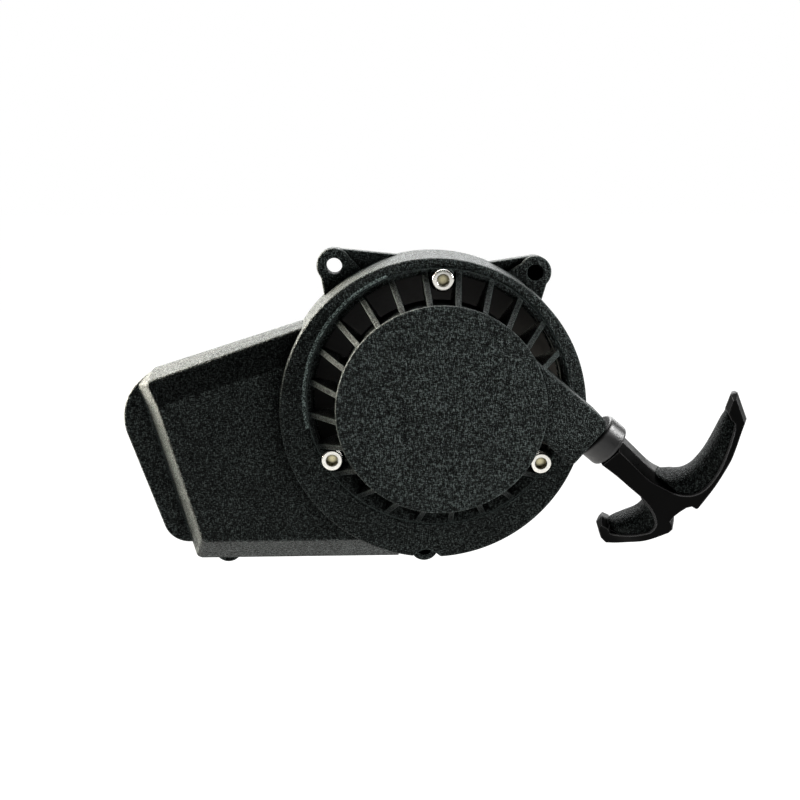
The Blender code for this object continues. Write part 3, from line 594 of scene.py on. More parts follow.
def rope_frame():
    """Takes a piece drawn along the rope, x out and y across, onto its line."""
    spot = polar(ROPE_OFFSET, PULL_ANGLE + 90.0)
    return Matrix.Translation((*spot, ROPE_HEIGHT)) @ Matrix.Rotation(radians(PULL_ANGLE), 4, "Z")


def to_rope(item):
    item.data.transform(rope_frame())
    return item


def along_rope(item):
    """Lay a piece that was turned about z along the rope."""
    item.data.transform(Matrix.Rotation(radians(90.0), 4, "Y"))
    return to_rope(item)


def shown(item, name, body, slot, nodes, sharp=32.0, others=()):
    """Stand a finished piece upright on its body in place of its CAD nodes.

    The others are the looks of the faces that don't wear the slot's own.
    """
    item.name = name
    item.data.name = name
    item.data.transform(UPRIGHT)
    places = [min(face.material_index, len(others)) for face in item.data.polygons]
    item.data.materials.clear()
    for look in (slot, *others):
        item.data.materials.append(LOOKS[look])
    for face, place in zip(item.data.polygons, places):
        face.material_index = place
    item.data.shade_smooth()
    item.data.set_sharp_from_angle(angle=radians(sharp))
    even = item.modifiers.new("even", "WEIGHTED_NORMAL")
    even.keep_sharp = True
    even.weight = 80
    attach(item, body)
    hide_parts(*nodes)
    return item


# ------------------------------------------------------------------ side cover
def cover_outline(inset, foot):
    """The sprocket cover's edge: foot is 1 where its walls stand and 0 at its face."""
    points = [
        (-38.0, 34.6 - 1.2 * inset),
        (-118.3 - foot + 1.1 * inset, 6.9 + 1.9 * foot - 1.1 * inset),
        (-118.9 - 6.2 * foot + inset, 5.6 - 2.8 * foot - inset),
        (-114.8 - 6.6 * foot + inset, -3.8 - 4.2 * foot),
        (-99.2 - 4.5 * foot + inset, -61.2 - 12.6 * foot + inset),
        (-97.5 - 4.2 * foot + inset, -62.4 - 12.3 * foot + inset),
        (-14.0, -62.4 - 12.3 * foot + inset),
        (-14.0, 0.0),
    ]
    return fillet(points, [0.0, 1.6, 2.4, 3.0, 2.0, 1.6, 0.0, 0.0], 4)


def flange_outline(inset):
    """The low flange round the sprocket cover's far end."""
    upper = arc((-110.0, -11.8), 21.9 - inset, 104.0, 198.0, 24)
    lower = arc((-106.8, -56.4), 11.0 - inset, 198.0, 268.0, 12)
    return [(-96.0, 14.0 - inset), *upper, *lower, (-96.0, -67.4 + inset)]


CREASE = (Vector((-122.0, -6.3)), Vector((-40.0, 20.4)))


def above_crease(spot):
    """Distance above the crease that runs along the sprocket cover's face."""
    along = (CREASE[1] - CREASE[0]).normalized()
    return (Vector(spot[:2]) - CREASE[0]).dot(Vector((-along.y, along.x)))


def on_facet(spot, normal):
    """The sloping strip above the crease."""
    return normal.z > 0.9 and 16.0 < spot.z < COVER_HEIGHT + 0.1 and above_crease(spot) > 0.2


def in_bell(spot, normal):
    """The funnel under the mouth, which gets painted shade."""
    return spot.z < 21.9 and spot.xy.length < MOUTH_RADIUS + 0.1 and normal.z > -0.5


def on_mouth_bevel(spot, normal):
    """The widest stretch of the mouth's bevel, which gets a light grey painted highlight."""
    direction = direction_of(spot)
    wide = direction > 112.0 or direction < -168.0
    return wide and spot.z > 26.8 and 52.8 < spot.xy.length < 56.5 and 0.3 < normal.z < 0.97


def slope_facet(item, foot_height, top_height):
    """Slope the strip above the crease down, with the crease itself softened."""
    along = (CREASE[1] - CREASE[0]).normalized()
    up = Vector((-along.y, along.x))

    def lowered(spot):
        above = above_crease(spot)
        share = min(max((spot.z - foot_height) / (top_height - foot_height), 0.0), 1.0)
        bend = max(above, 0.0) if abs(above) > 0.4 else 0.1
        return spot.z - FACET_DROP * bend / FACET_WIDTH * share

    bend_mesh(item, [CREASE[0] + up * shift for shift in (-0.5, 0.0, 0.5)], up, 1e-5, lowered)
    return item


def sprocket_shell():
    sections = [level(cover_outline(0.0, 1.0), 0.0), level(cover_outline(0.0, 1.0), FLANGE_HEIGHT)]
    for inset, drop in quarter_round(COVER_ROUND, 4):
        sections.append(level(cover_outline(inset, ROUND_FOOT * drop / COVER_ROUND), COVER_HEIGHT - drop))
    body = slope_facet(loft("side_cover", sections), FLANGE_HEIGHT, COVER_HEIGHT)
    join(body, slab("flange", flange_outline(0.0), 0.0, FLANGE_HEIGHT - 0.1, 0.8))
    cavity = slope_facet(loft("cavity", [
        level(cover_outline(WALL, 1.0), -1.0),
        level(cover_outline(WALL, 1.0), FLANGE_HEIGHT - 2.0),
        level(cover_outline(WALL, 0.2), COVER_HEIGHT - WALL),
    ]), FLANGE_HEIGHT, COVER_HEIGHT)
    low = slab("low", flange_outline(WALL), -1.0, FLANGE_HEIGHT - WALL, 0.0)
    return cut(body, cavity, low, cylinder(SHROUD, SHROUD_RADIUS - 1.2, BELOW, ABOVE, FINE))


def shroud_shell():
    radius = SHROUD_RADIUS
    outer = fillet([(0.0, 0.0), (radius + 1.2, 0.0), (radius, SHROUD_HEIGHT), (0.0, SHROUD_HEIGHT)],
                   [0.0, 0.3, 1.1, 0.0], 5)
    shell = turned("shroud", outer, FINE, SHROUD)
    cavity = cylinder(SHROUD, radius - WALL, -1.0, SHROUD_HEIGHT - WALL, FINE)
    cut(cavity, cylinder((-4.2, -71.0), 9.4, BELOW, ABOVE))
    cut(shell, cavity)
    bell = MOUTH_RADIUS + WALL
    blank = turned("bell", [
        (36.0, 7.2), (40.4, 7.2), (bell, 20.4), (bell, SHROUD_HEIGHT - 1.0),
        (36.0, SHROUD_HEIGHT - 1.0)], FINE)
    join(shell, blank)
    clear = MOUTH_RADIUS + 4.0
    mouth = fillet([
        (0.0, BELOW), (38.0, BELOW), (38.0, 10.0), (50.5, 22.0), (MOUTH_RADIUS, 22.0),
        (MOUTH_RADIUS, SHROUD_HEIGHT), (clear, SHROUD_HEIGHT), (clear, 34.0), (0.0, 34.0)],
        [0.0, 0.0, 0.8, 0.5, 0.0, 0.35, 0.0, 0.0, 0.0], 3)
    bevel = [(0.0, 27.2), (52.9, 27.2), (54.7, SHROUD_HEIGHT + 0.2), (0.0, SHROUD_HEIGHT + 0.2)]
    return cut(shell, turned("mouth", mouth, FINE), turned("bevel", bevel, FINE, (-0.9, 0.3)))


def groove():
    """A smooth hump-shaped cut through the lower edge, in front of the bottom lug."""
    middle, foot, half, depth, count = -4.4, -70.2, 11.0, 5.6, 33
    outline = []
    for index in range(count):
        across = half - 2.0 * half * index / (count - 1)
        outline.append((middle + across, foot + depth * (0.5 + 0.5 * cos(pi * across / half))))
    return slab("groove", [*outline, (middle - half, -76.0), (middle + half, -76.0)], -1.0, 30.0, 0.0)


def lug(centre, radius, foot_a, foot_b):
    """A lug with a round tip, whose two sides run to feet inside the shroud."""
    middle = direction_of(centre, SHROUD)
    tip = arc(centre, radius, middle - 95.0, middle + 95.0, 33)
    return slab("lug", [foot_a, *tip, foot_b], 0.0, LUG_HEIGHT, 0.8, 0.3, 4)


def make_side_cover():
    cover = join(sprocket_shell(), shroud_shell())
    cut(cover, groove())
    pieces = [
        slab("web", [(-46.0, 50.0), (-12.0, 50.0), (-12.0, 56.4), (-21.5, 57.4), (-40.0, 59.3)],
             0.0, WEB_HEIGHT, 0.6),
        slab("web", [(12.0, 48.0), (44.0, 48.0), (39.5, 56.0), (22.0, 53.4), (12.0, 55.0)],
             0.0, WEB_HEIGHT, 0.6),
        lug(LEFT_LUG, 7.3, (-26.0, 46.0), (-45.6, 36.0)),
        lug(RIGHT_LUG, 6.9, (43.6, 34.0), (24.0, 46.0)),
        lug(BOTTOM_LUG, 6.2, (-11.0, -63.0), (3.0, -63.0)),
    ]
    for piece in pieces:
        cut(piece, cylinder(SHROUD, SHROUD_RADIUS - 1.0, BELOW, ABOVE, FINE))
        join(cover, piece)
    stub = fillet([(0, 0), (6.0, 0), (6.0, 6.0), (0, 6.0)], [0, 0, 0.6, 0])
    boss = turned("boss", stub, 48, (-90.5, -72.0))
    join(cover, cut(boss, slab("trim", cover_outline(WALL + 3.0, 1.0), -1.0, 8.0, 0.0)))
    spots = [polar(SCREW_CIRCLE, angle) for angle in SCREW_ANGLES]
    join(cover, *[cylinder(spot, 5.6, 5.0, 22.3) for spot in spots])
    cut(cover, *[cylinder(spot, 3.8, 11.5, 26.0) for spot in spots])
    for centre, low in ((LEFT_LUG, -1.0), (RIGHT_LUG, 2.0), (BOTTOM_LUG, 2.0)):
        hole = fillet([(0.0, low), (LUG_HOLE, low), (LUG_HOLE, LUG_HEIGHT), (7.0, LUG_HEIGHT), (7.0, 20.0),
                       (0.0, 20.0)], [0.0, 0.0, 0.45, 0.0, 0.0, 0.0], 3)
        cut(cover, turned("hole", hole, 64, centre))
    looks_where(cover, on_facet, in_bell, on_mouth_bevel)
    return shown(cover, "side_cover_shell", "casing", "moulded_black", ["side_cover"],
                 others=["shaded_facet", "bell_mouth", "rubbed_bevel"])


# ------------------------------------------------------------ starter housing
def make_cup():
    profile = [
        (0.0, 40.0), (2.7, 40.0), (2.7, 23.7), (5.0, 23.7), (5.0, CUP_ROOF), (CUP_INNER, CUP_ROOF),
        (CUP_INNER, CUP_BACK), (CUP_OUTER, CUP_BACK), (CUP_OUTER, DISC_HEIGHT - 1.9),
        (DISC_RADIUS, DISC_HEIGHT - 1.4), (DISC_RADIUS, DISC_HEIGHT), (0.0, DISC_HEIGHT)]
    radii = [0.0, 0.0, 0.3, 0.3, 0.8, 0.8, 0.4, 0.4, 0.4, 0.3, 0.8, 0.0]
    return turned("starter_housing_shell", fillet(profile, radii, 4), FINE)


def make_ribs():
    """The grille: sloping ribs with rounded edges, at even steps round the cup."""
    side = [(CUP_OUTER - 1.0, CUP_BACK + 0.5), (52.9, 23.1), (52.9, 27.8), (52.5, 27.8),
            (CUP_OUTER + 0.4, 46.8), (CUP_OUTER - 1.0, 46.8)]
    rounding = ((-1.2, 0.4), (-1.09, 0.12), (-0.85, 0.0), (0.85, 0.0), (1.09, 0.12), (1.2, 0.4))
    made = None
    for index in range(RIBS):
        sections = []
        for offset, inset in rounding:
            sections.append([(radius, offset, height) for radius, height in inward(side, inset)])
        rib = loft("rib", sections)
        rib.data.transform(Matrix.Rotation(radians(RIB_START + RIB_STEP * index), 4, "Z"))
        made = join(made, rib) if made else rib
    return made


def spout_outline(back, shrunk=0.0):
    """The spout's edge, x along the rope, with its two outer corners rounded."""
    high = arc((SPOUT_END - 4.0, SPOUT_HIGH - 4.0), 4.0 - shrunk, 90.0, 0.0, 12)
    low = arc((SPOUT_END - 2.0, SPOUT_LOW + 2.0), 2.0 - shrunk, 0.0, -90.0, 9)
    return [(back, SPOUT_HIGH - shrunk), *high, *low, (back, SPOUT_LOW + shrunk)]


def make_spout():
    """The solid spout, cut back to the outside of the cup."""
    sections = [level(spout_outline(12.0), SPOUT_BACK - ROPE_HEIGHT)]
    for inset, drop in quarter_round(SPOUT_ROUND, 4):
        sections.append(level(spout_outline(12.0, inset), SPOUT_FACE - ROPE_HEIGHT - drop))
    spout = to_rope(loft("spout", sections))
    foot = to_rope(slab("foot", spout_outline(14.0), CUP_BACK - ROPE_HEIGHT, 31.0 - ROPE_HEIGHT, 0.0))
    keep(foot, cylinder(AXIS, 53.0, 20.0, ABOVE, FINE))
    return cut(join(spout, foot), cylinder(AXIS, CUP_INNER + 1.0, 10.0, CUP_ROOF + 0.3, FINE))


def on_rib(spot, normal):
    """A rib of the grille, clear of the spout; the ribs get a darker copy of the moulding as painted shade.
    """
    direction = direction_of(spot)
    clear = direction > 30.0 or direction < -26.0
    on_ring = 41.0 < spot.xy.length < 51.1 and CUP_BACK < spot.z < CUP_ROOF + 0.4
    return clear and on_ring and abs(normal.z) < 0.95


def make_housing():
    profile = [(51.2, 22.8), (53.42, 22.8), (53.42, SHROUD_HEIGHT - 0.1), (51.2, SHROUD_HEIGHT - 0.3)]
    ring = turned("ring", fillet(profile, [0.3, 0.3, 0.25, 0.5], 3), FINE)
    plan = [*arc(AXIS, 52.2, 209.0, 328.0, 90), *arc(AXIS, 46.0, 328.0, 209.0, 90)]
    join(ring, make_ribs(), slab("lower_web", plan, 24.4, 27.7, 0.3))
    for angle in SCREW_ANGLES:
        boss = turned("boss", fillet([(0.0, 22.6), (5.2, 22.6), (5.2, BOSS_TOP), (0.0, BOSS_TOP)],
                                     [0.0, 0.0, 0.5, 0.0], 3), 64, polar(SCREW_CIRCLE, angle))
        join(ring, keep(boss, cylinder(AXIS, 53.3, 10.0, ABOVE, FINE)))
    housing = join(make_cup(), ring, make_spout())
    tunnel = slab("tunnel", [(6.0, -12.7), (51.8, -12.7), (51.8, 4.8), (6.0, 4.8)], -6.2, 7.4, 0.0)
    cut(housing, to_rope(tunnel))
    cut(housing, along_rope(turned("bore", [(0, 48.0), (6.2, 48.0), (6.2, 60.0), (0, 60.0)], 64)))
    cut(housing, *[cylinder(polar(SCREW_CIRCLE, angle), 2.8, 15.0, ABOVE) for angle in SCREW_ANGLES])
    join(housing, cylinder(polar(34.6, 150.0), 1.5, 41.4, CUP_ROOF + 0.6, 32))
    looks_where(housing, on_rib)
    return shown(housing, "starter_housing_shell", "casing", "moulded_black", ["starter_housing"],
                 others=["rib_black"])


# ------------------------------------------------------------------ fasteners
HEAD_RADIUS = 4.25
HEAD_HEIGHT = 5.0
SHANK_RADIUS = 2.45
HEXAGON_RADIUS = 2.35            # from the socket's middle to its corners
SOCKET_DEPTH = 2.6


def cut_socket(screw, low, high, turn, centre=AXIS):
    """Cut a hexagon socket and give back its shape, to mark its walls by."""
    hexagon = [polar(HEXAGON_RADIUS, 60.0 * index + turn, centre) for index in range(6)]
    socket = slab("socket", hexagon, low, high, 0.0)
    walls = twin(socket)
    cut(screw, socket)
    return walls


def make_cap_screw(number, centre):
    """An M5 socket-head cap screw: knurled head, chamfered hexagon socket."""
    seat = BOSS_TOP + 0.3
    top = seat + HEAD_HEIGHT

    def knurl(index, radius, height):
        return -0.13 if index % 2 and 4.2 < radius and seat + 0.4 < height < top - 0.9 else 0.0

    profile = fillet([
        (0.0, 12.6), (SHANK_RADIUS, 12.6), (SHANK_RADIUS, seat), (HEAD_RADIUS, seat),
        (HEAD_RADIUS, seat + 0.5), (HEAD_RADIUS, seat + 2.2), (HEAD_RADIUS, top - 1.0), (HEAD_RADIUS, top),
        (0.0, top)],
        [0, 0.5, 0, 0.2, 0, 0, 0, 0.7, 0], 4)
    screw = turned("screw", profile, 96, centre, knurl)
    walls = cut_socket(screw, top - SOCKET_DEPTH, top + 2.0, 30.0, centre)
    lead_in = [(0.0, top - 1.1), (1.5, top - 0.95), (2.45, top - 0.2), (2.75, top + 0.4), (0.0, top + 0.4)]
    cut(screw, turned("lead_in", lead_in, 64, centre))
    second_look(screw, walls)
    return shown(screw, f"cap_screw_{number}", "casing", "bright_zinc", [f"cover_screw_{number}"],
                 others=["socket_metal"])


def make_rope_guide():
    """The glossy guide: a stem in the spout and a thick rounded collar."""
    profile = [
        (2.4, 49.0), (5.9, 49.0), (5.9, GUIDE_START), (9.5, GUIDE_START), (9.5, GUIDE_END), (3.4, GUIDE_END),
        (2.4, 62.0)]
    rounded = fillet(profile, [0, 0.3, 0, 1.3, 1.9, 1.6, 1.0], 8)
    guide = along_rope(turned("guide", rounded, 120))
    return shown(guide, "rope_guide_eyelet", "casing", "gloss_black", ["rope_guide"])


# --------------------------------------------------------------- pull handle
GRIP_HALF = 7.8                  # half the handle's thickness at its middle
UPPER_EDGE = [(93.6, 5.6), (97.0, 7.8), (99.3, 10.6), (100.3, 14.3), (99.9, 18.7), (97.9, 25.2),
              (94.3, 32.3), (90.8, 38.6), (88.2, 42.8)]
LOWER_EDGE = [(91.8, -28.0), (95.6, -23.6), (98.8, -18.1), (100.7, -14.2), (99.9, -10.4), (97.0, -8.0),
              (93.4, -6.4), (89.6, -5.5), (86.0, -5.0)]


def front_outline():
    """Outline of the handle's flat body, x along the rope and y across it."""
    neck_top = smooth_curve([(65.2, 4.3), (73.0, 3.8), (82.8, 3.2), (88.0, 4.2), (93.6, 5.6)], 22)
    upper = smooth_curve(UPPER_EDGE, 44)[1:]
    tip = [(86.2, 42.9), (83.4, 44.0), (80.6, 48.9), (81.2, 50.0), (91.0, 45.2), (92.9, 41.6)]
    outer = smooth_curve([
        (92.9, 41.6), (96.0, 35.8), (98.7, 30.2), (102.4, 20.4), (104.5, 13.0), (105.9, 7.4)], 26)[1:]
    notch = [(105.6, 6.5), (103.6, 6.2), (102.6, 4.2), (102.3, 1.0), (102.3, -2.0), (103.0, -4.8),
             (104.7, -5.2), (106.5, -7.0)]
    lower = smooth_curve([(106.7, -9.3), (104.3, -16.4), (101.0, -23.2), (97.8, -28.8), (94.2, -32.6)], 24)
    end = [(91.0, -32.3), (87.0, -29.7), (86.8, -27.4), (89.7, -26.6)]
    panel = smooth_curve(LOWER_EDGE, 40)
    neck_low = smooth_curve([(86.0, -5.0), (80.0, -5.0), (73.0, -4.9), (65.2, -5.3)], 22)[1:]
    inner = (*lower, *end, *panel, *neck_low)
    return [tuple(point) for point in (*neck_top, *upper, *tip, *outer, *notch, *inner)]


# Stations along each finger grip: a point on the panel's edge and one on the inner side.
UPPER_GRIP = [
    ((86.6, 5.4), (85.2, 4.6)), ((92.6, 6.9), (87.9, 6.9)), ((96.8, 8.2), (90.0, 9.3)),
    ((99.1, 10.7), (91.6, 12.0)), ((100.2, 14.4), (92.4, 15.4)), ((99.8, 18.8), (92.2, 18.9)),
    ((97.8, 25.3), (90.9, 24.6)), ((94.2, 32.4), (88.3, 31.6)), ((90.7, 38.7), (85.0, 38.8)),
    ((88.1, 43.0), (83.9, 41.7)), ((85.6, 45.8), (81.8, 45.4))]
LOWER_GRIP = [
    ((87.6, -4.2), (86.3, -5.2)), ((93.2, -6.1), (90.0, -7.2)), ((96.8, -7.8), (91.7, -9.1)),
    ((99.7, -10.1), (92.4, -11.2)), ((100.5, -14.2), (92.3, -14.2)), ((98.6, -18.0), (91.4, -17.8)),
    ((95.4, -23.4), (89.8, -22.4)), ((93.2, -26.0), (88.6, -24.4)), ((91.8, -27.8), (88.2, -25.4))]
GRIP_RINGS = 40


def thickness(across):
    """Half the handle's thickness: full at the middle, thinner at both ends."""
    upper = min(max((across - 30.0) / 18.0, 0.0), 1.0)
    lower = min(max((-across - 18.0) / 12.0, 0.0), 1.0)
    return GRIP_HALF - 3.8 * upper * upper * (3.0 - 2.0 * upper) - 2.8 * lower * lower * (3.0 - 2.0 * lower)


def taper_arms(item):
    """Thin a handle of even thickness towards the ends of its arms."""
    cuts = [-31.0 + 1.5 * step for step in range(10)] + [29.0 + 1.5 * step for step in range(15)]
    bend_mesh(item, [(0.0, across) for across in cuts], (0.0, 1.0), 1e-4,
              lambda spot: spot.z * (thickness(spot.y) / GRIP_HALF))


def grip_pad(stations, half):
    """A rounded finger grip between a panel's edge and the handle's inner side."""
    outer = smooth_curve([station[0] for station in stations], GRIP_RINGS)
    inner = smooth_curve([station[1] for station in stations], GRIP_RINGS)
    sections = []
    for index, (far, near) in enumerate(zip(outer, inner)):
        share = index / (GRIP_RINGS - 1)
        height = half * min(1.0, 0.55 + 4.0 * min(share, 1.0 - share))
        across = near - far
        back = far - across.normalized() * 1.4
        ring = [(back.x, back.y, height * 0.9)]
        for step in range(15):
            angle = pi / 2.0 - pi * step / 14
            reach = abs(cos(angle)) ** 0.85
            spot = far + across * reach
            ring.append((spot.x, spot.y, height * (1.0 if sin(angle) > 0 else -1.0) * abs(sin(angle)) ** 0.8))
        ring.append((back.x, back.y, -height * 0.9))
        sections.append(ring)
    return loft("grip_pad", sections)


def panel_bead(line, side):
    """The thin raised line round the grained panel, on one face of the handle."""
    points = [(point.x + 0.45, point.y, side * (GRIP_HALF - 0.12)) for point in smooth_curve(line, 56)]
    return tube("bead", points, 0.42, 8, lambda share: min(1.0, 0.3 + 14.0 * min(share, 1.0 - share)))


def make_handle():
    """The handle's body swells to a grooved parting line half way through it."""
    front = front_outline()
    half = GRIP_HALF
    swell = [(-half, 0.55), (-half + 0.12, 0.25), (-half + 0.45, 0.0), (-0.32, -0.95), (-0.12, -0.72),
             (0.12, -0.72), (0.32, -0.95), (half - 0.45, 0.0), (half - 0.12, 0.25), (half, 0.55)]
    handle = loft("handle", [level(inward(front, amount), height) for height, amount in swell])
    for line in (UPPER_EDGE, LOWER_EDGE):
        join(handle, *[panel_bead(line, side) for side in (-1.0, 1.0)])
    pads = [grip_pad(stations, half - 0.5) for stations in (UPPER_GRIP, LOWER_GRIP)]
    grain = join(twin(pads[0]), twin(pads[1]))
    join(handle, *pads)
    bore = cylinder(AXIS, ROPE_HOLE, 60.0, KNOT_SEAT + 1.0, 32)
    pocket = cylinder(AXIS, KNOT_POCKET, KNOT_SEAT, 120.0, 48)
    for tool in (bore, pocket):
        tool.data.transform(Matrix.Rotation(radians(90.0), 4, "Y"))
        cut(handle, tool)
    second_look(handle, grain)
    taper_arms(handle)
    handle.data.transform(Matrix.Rotation(radians(HANDLE_TURN), 4, "X"))
    return shown(to_rope(handle), "pull_handle", "handle", "grip_black", ["handle_grip"],
                 sharp=30.0, others=["grained_pad"])


# ------------------------------------------------------------------- mechanism
PAWL_CIRCLE = 20.0
PAWL_ARM = 14.0
PAWL_REST = -98.0                # direction of the first pawl's arm at rest
PAWL_SWING = 28.0
PAWL_HEIGHTS = (27.6, 31.7)
PLATE_TURN = 22.0
PLATE_HEIGHTS = (25.4, 27.0)
STUD_ARM = 7.0
STUD_RADIUS = 1.5
PIN_RADIUS = 2.0
PIN_HOLE = 2.3
TRACK_POINTS = 13                # places of a stud that its track is drawn through
REEL_RADIUS = 35.0
REEL_CORE = 15.6
REEL_BORE = 5.4
REEL_BACK = 32.0
REEL_FRONT = 40.5
REEL_POCKETS = 18


def pawl_spot(side):
    return polar(PAWL_CIRCLE, 180.0 * side)


def make_reel():
    """The moulded reel, with a ring of shallow pockets in its rear flange."""
    profile = [
        (REEL_BORE, 27.4), (9.0, 27.4), (9.0, REEL_BACK), (REEL_RADIUS, REEL_BACK), (REEL_RADIUS, 34.4),
        (34.4, 35.1), (REEL_CORE, 35.1), (REEL_CORE, 38.9), (REEL_RADIUS, 38.9), (REEL_RADIUS, REEL_FRONT),
        (8.6, REEL_FRONT), (8.6, 45.8), (REEL_BORE, 45.8)]
    radii = [0.3, 0.4, 0.8, 0.5, 0.2, 0.2, 0.4, 0.4, 0.5, 0.4, 0.5, 0.3, 0.3]
    reel = turned("reel", fillet(profile, radii, 3), 144)
    cut(reel, cylinder(polar(12.1, 90.0), 3.4, 26.0, 38.5))
    cut(reel, slab("slot", [(-2.0, 12.0), (2.0, 12.0), (2.0, 18.0), (-2.0, 18.0)], 35.3, 38.7, 0.0))
    cut(reel, *[cylinder(pawl_spot(side), PIN_HOLE, 30.0, 34.7) for side in range(2)])
    for index in range(REEL_POCKETS):
        middle = 360.0 / REEL_POCKETS * index
        pocket = fillet([*arc(AXIS, 33.2, middle - 8.0, middle + 8.0, 9),
                         *arc(AXIS, 27.4, middle + 7.4, middle - 7.4, 9)], 0.5, 2)
        cut(reel, slab("pocket", pocket, 31.0, 32.8, 0.3))
    return shown(reel, "rope_reel", "reel", "reel_nylon", ["reel"])


def stud_track(side):
    """Where a pawl's stud stands in the guide plate as the plate turns."""
    track = []
    for index in range(TRACK_POINTS):
        share = index / (TRACK_POINTS - 1)
        arm = polar(STUD_ARM, 180.0 * side + PAWL_REST + PAWL_SWING * share)
        stud = Vector(pawl_spot(side)) + Vector(arm)
        track.append(Matrix.Rotation(radians(-PLATE_TURN * share), 2) @ stud)
    return track


def track_outline(side):
    """A slot with round ends that clears the stud all along its track."""
    track = stud_track(side)
    half = STUD_RADIUS + 0.5
    left, right = [], []
    for index, spot in enumerate(track):
        along = heading(track, index)
        across = Vector((-along.y, along.x)) * half
        left.append(tuple(spot + across))
        right.append(tuple(spot - across))
    first = (track[1] - track[0]).angle_signed(Vector((1.0, 0.0)))
    last = (track[-1] - track[-2]).angle_signed(Vector((1.0, 0.0)))
    tail = arc(tuple(track[0]), half, degrees(first) + 90.0, degrees(first) + 270.0, 13)[1:-1]
    nose = arc(tuple(track[-1]), half, degrees(last) - 90.0, degrees(last) + 90.0, 13)[1:-1]
    return [*tail, *right, *nose, *reversed(left)]


def make_guide_plate():
    """The pressed friction plate: rolled edges and a shallow ring round its hub."""
    back, face = PLATE_HEIGHTS
    profile = fillet([
        (5.4, back), (9.6, back), (10.4, back + 0.35), (22.2, back + 0.35), (23.0, back), (25.0, back),
        (25.0, face), (5.4, face)], [0.3, 0.4, 0.4, 0.4, 0.4, 0.5, 0.4, 0.3], 4)
    plate = turned("plate", profile, 144)
    cut(plate, *[slab("track", track_outline(side), 23.0, 29.0, 0.0) for side in range(2)])
    return shown(plate, "friction_plate", "guide_plate", "sheet_steel", ["guide_plate"])


def make_pawl(side):
    """A pawl with the stud on its back that runs in the guide plate."""
    heel = arc(AXIS, 3.9, 100.0, 260.0, 25)
    tip = [(5.0, -2.9), (PAWL_ARM, -1.9), (PAWL_ARM + 0.8, 1.6), (6.0, 3.3)]
    outline = fillet([*heel, *tip], [0.0] * len(heel) + [1.5, 0.4, 0.4, 1.5], 4)
    pawl = slab("pawl", outline, *PAWL_HEIGHTS, 0.4, 0.4)
    join(pawl, slab("stud", arc((STUD_ARM, 0.0), STUD_RADIUS, 0.0, 352.5, 48), 24.6, 28.6, 0.0, 0.3))
    cut(pawl, cylinder(AXIS, PIN_HOLE, 20.0, ABOVE))
    pawl.data.transform(Matrix.Rotation(radians(180.0 * side + PAWL_REST), 4, "Z"))
    pawl.data.transform(Matrix.Translation((*pawl_spot(side), 0.0)))
    name = f"pawl_{side + 1}"
    return shown(pawl, f"driving_{name}", name, "sheet_steel", [name])


def make_pin(side):
    profile = [(0.0, 27.4), (PIN_RADIUS, 27.4), (PIN_RADIUS, 34.4), (0.0, 34.4)]
    pin = turned("pin", fillet(profile, [0.0, 0.4, 0.2, 0.0], 4), 64, pawl_spot(side))
    return shown(pin, f"pivot_pin_{side + 1}", "reel", "bright_zinc", [f"pawl_pin_{side + 1}"])


def make_centre_screw():
    profile = fillet([(0.0, 18.7), (4.8, 18.7), (4.8, 21.9), (2.4, 21.9), (2.4, 38.2), (0.0, 38.2)],
                     [0.0, 0.7, 0.2, 0.1, 0.5, 0.0], 4)
    screw = turned("centre_screw", profile, 96)
    second_look(screw, cut_socket(screw, 16.0, 20.9, 0.0))
    return shown(screw, "reel_screw", "casing", "bright_zinc", ["centre_screw"], others=["socket_metal"])


def make_centre_washer():
    profile = fillet([(2.8, 22.2), (9.0, 22.2), (9.0, 23.4), (2.8, 23.4)], 0.25, 3)
    return shown(turned("washer", profile, 96), "reel_washer", "casing", "bright_zinc", ["centre_washer"])


def make_insert(number, centre):
    """A brass insert, with its knurl's two bands round the outside."""
    def knurl(index, radius, height):
        return -0.12 if index % 2 and radius > 3.4 and (14.0 < height < 16.4 or 18.0 < height < 20.6) else 0.0

    outside = [(3.5, height) for height in (12.6, 14.2, 16.2, 18.2, 20.4, 21.9)]
    profile = [(2.8, 12.6), *outside, (2.8, 21.9)]
    insert = turned("insert", profile, 72, centre, knurl)
    return shown(insert, f"brass_insert_{number}", "casing", "brass", [f"screw_insert_{number}"])


ROPE_RADIUS = 1.48
ROPE_RINGS = 319
RING_GAP = 0.3


def make_rope():
    """The rope from the reel, through the guide, to the knot in the handle."""
    rope = to_rope(tube("rope", [(RING_GAP * step, 0.0, 0.0) for step in range(ROPE_RINGS)], ROPE_RADIUS, 16))
    rope.data.transform(UPRIGHT)
    rope.name = "pull_rope"
    rope.data.materials.append(LOOKS["black_cord"])
    rope.data.shade_smooth()
    rope.data.set_sharp_from_angle(angle=radians(60.0))
    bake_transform(rope)
    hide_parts("rope_lead")


# ---------------------------------------------------------- floor, light, view
FLOOR_DROP = 0.42                # the part hangs on its mount, so the pulled handle clears the floor
FLOOR_GLOW = 1.0                 # keeps the pale floor even to its far edge
FLOOR_HALF = 12.0
WORLD_STRENGTH = 0.05


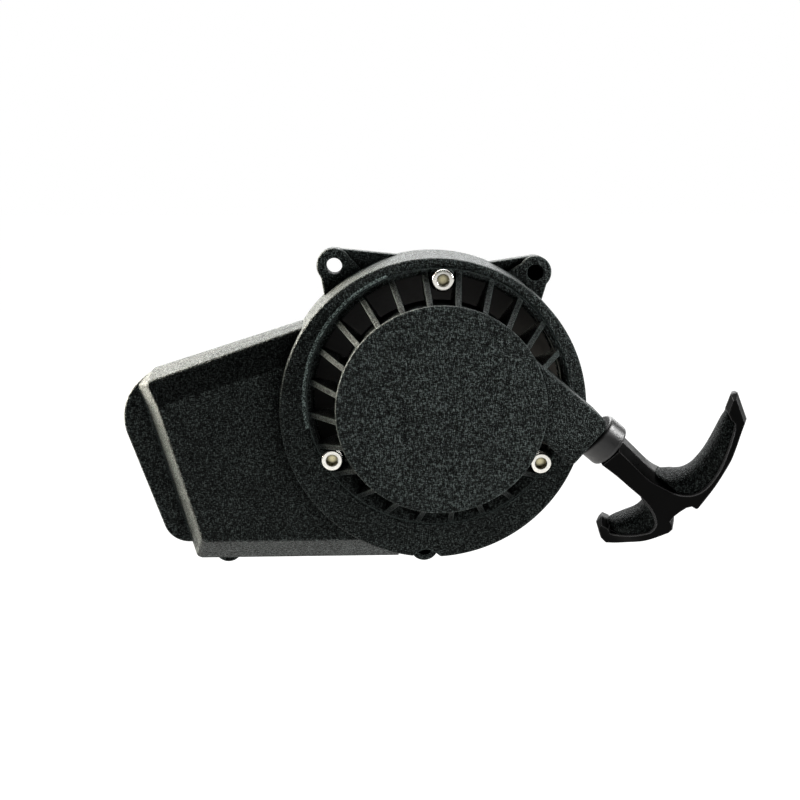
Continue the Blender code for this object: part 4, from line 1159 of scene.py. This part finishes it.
def studio():
    half = FLOOR_HALF
    grid = bmesh.new()
    corners = [(-half, -half), (half, -half), (half, half), (-half, half)]
    grid.faces.new([grid.verts.new((x, y, cad_box[0].z - FLOOR_DROP)) for x, y in corners])
    sheet = bpy.data.meshes.new("floor")
    grid.to_mesh(sheet)
    grid.free()
    floor = placed("floor", sheet)
    look = Look("floor")
    look.set(Base_Color=look.shades(look.noise(6.0), (0.3, (0.07, 0.07, 0.07)), (0.7, (0.09, 0.09, 0.09))))
    look.shader.inputs["Roughness"].default_value = 0.9
    look.shader.inputs["Specular IOR Level"].default_value = 0.0
    look.shader.inputs["Emission Color"].default_value = (1.0, 1.0, 1.0, 1.0)
    look.shader.inputs["Emission Strength"].default_value = FLOOR_GLOW
    floor.data.materials.append(look.made)


def softbox(name, place, aim, size, power, colour=(1.0, 1.0, 1.0)):
    data = bpy.data.lights.new(name, "AREA")
    data.shape = "RECTANGLE"
    data.size, data.size_y = size
    data.energy = power
    data.color = colour
    lamp = placed(name, data)
    lamp.location = place
    lamp.rotation_euler = (Vector(aim) - Vector(place)).to_track_quat("-Z", "Y").to_euler()
    lamp.visible_camera = False


def sky():
    """White all round: dim as a light, and at full strength as the background."""
    world = bpy.data.worlds.new("studio")
    bpy.context.scene.world = world
    world.use_nodes = True
    tree = world.node_tree
    mix = tree.nodes.new("ShaderNodeMixShader")
    shining, seen = tree.nodes["Background"], tree.nodes.new("ShaderNodeBackground")
    for place, background in enumerate((shining, seen), start=1):
        background.inputs["Color"].default_value = (1.0, 1.0, 1.0, 1.0)
        tree.links.new(background.outputs[0], mix.inputs[place])
    shining.inputs["Strength"].default_value = WORLD_STRENGTH
    path = tree.nodes.new("ShaderNodeLightPath")
    tree.links.new(path.outputs["Is Camera Ray"], mix.inputs[0])
    tree.links.new(mix.outputs[0], tree.nodes["World Output"].inputs[0])


def camera():
    data = bpy.data.cameras.new("camera")
    data.lens = 45.0
    data.sensor_width = 36.0
    data.clip_start, data.clip_end = 0.01, 20.0
    eye = placed("camera", data)
    eye.location = (-0.02926, -0.4232, 0.09298)
    eye.rotation_euler = (radians(76.78), 0.0, radians(-2.0))
    bpy.context.scene.camera = eye


make_side_cover()
make_housing()
for number, angle in enumerate(SCREW_ANGLES, start=1):
    make_cap_screw(number, polar(SCREW_CIRCLE, angle))
    make_insert(number, polar(SCREW_CIRCLE, angle))
make_rope_guide()
make_handle()
make_reel()
make_guide_plate()
for side in range(2):
    make_pawl(side)
    make_pin(side)
make_centre_screw()
make_centre_washer()
make_rope()
studio()
sky()
softbox("back_light", place=(0.0, 2.40, 1.30), aim=(0.0, 0.0, 0.04), size=(5.0, 2.6), power=190.0)
softbox("top_light", place=(-0.15, 0.60, 0.74), aim=(0.0, 0.0, 0.0), size=(0.9, 0.5), power=13.0)
softbox("left_light", place=(-0.75, 0.27, 0.16), aim=(-0.08, 0.0, 0.0), size=(0.4, 0.5), power=75.0,
        colour=(1.0, 0.92, 0.80))
softbox("right_light", place=(0.85, -0.14, 0.32), aim=(0.05, 0.0, 0.0), size=(0.25, 0.25), power=15.0)
camera()
bpy.context.scene.view_settings.view_transform = "Standard"
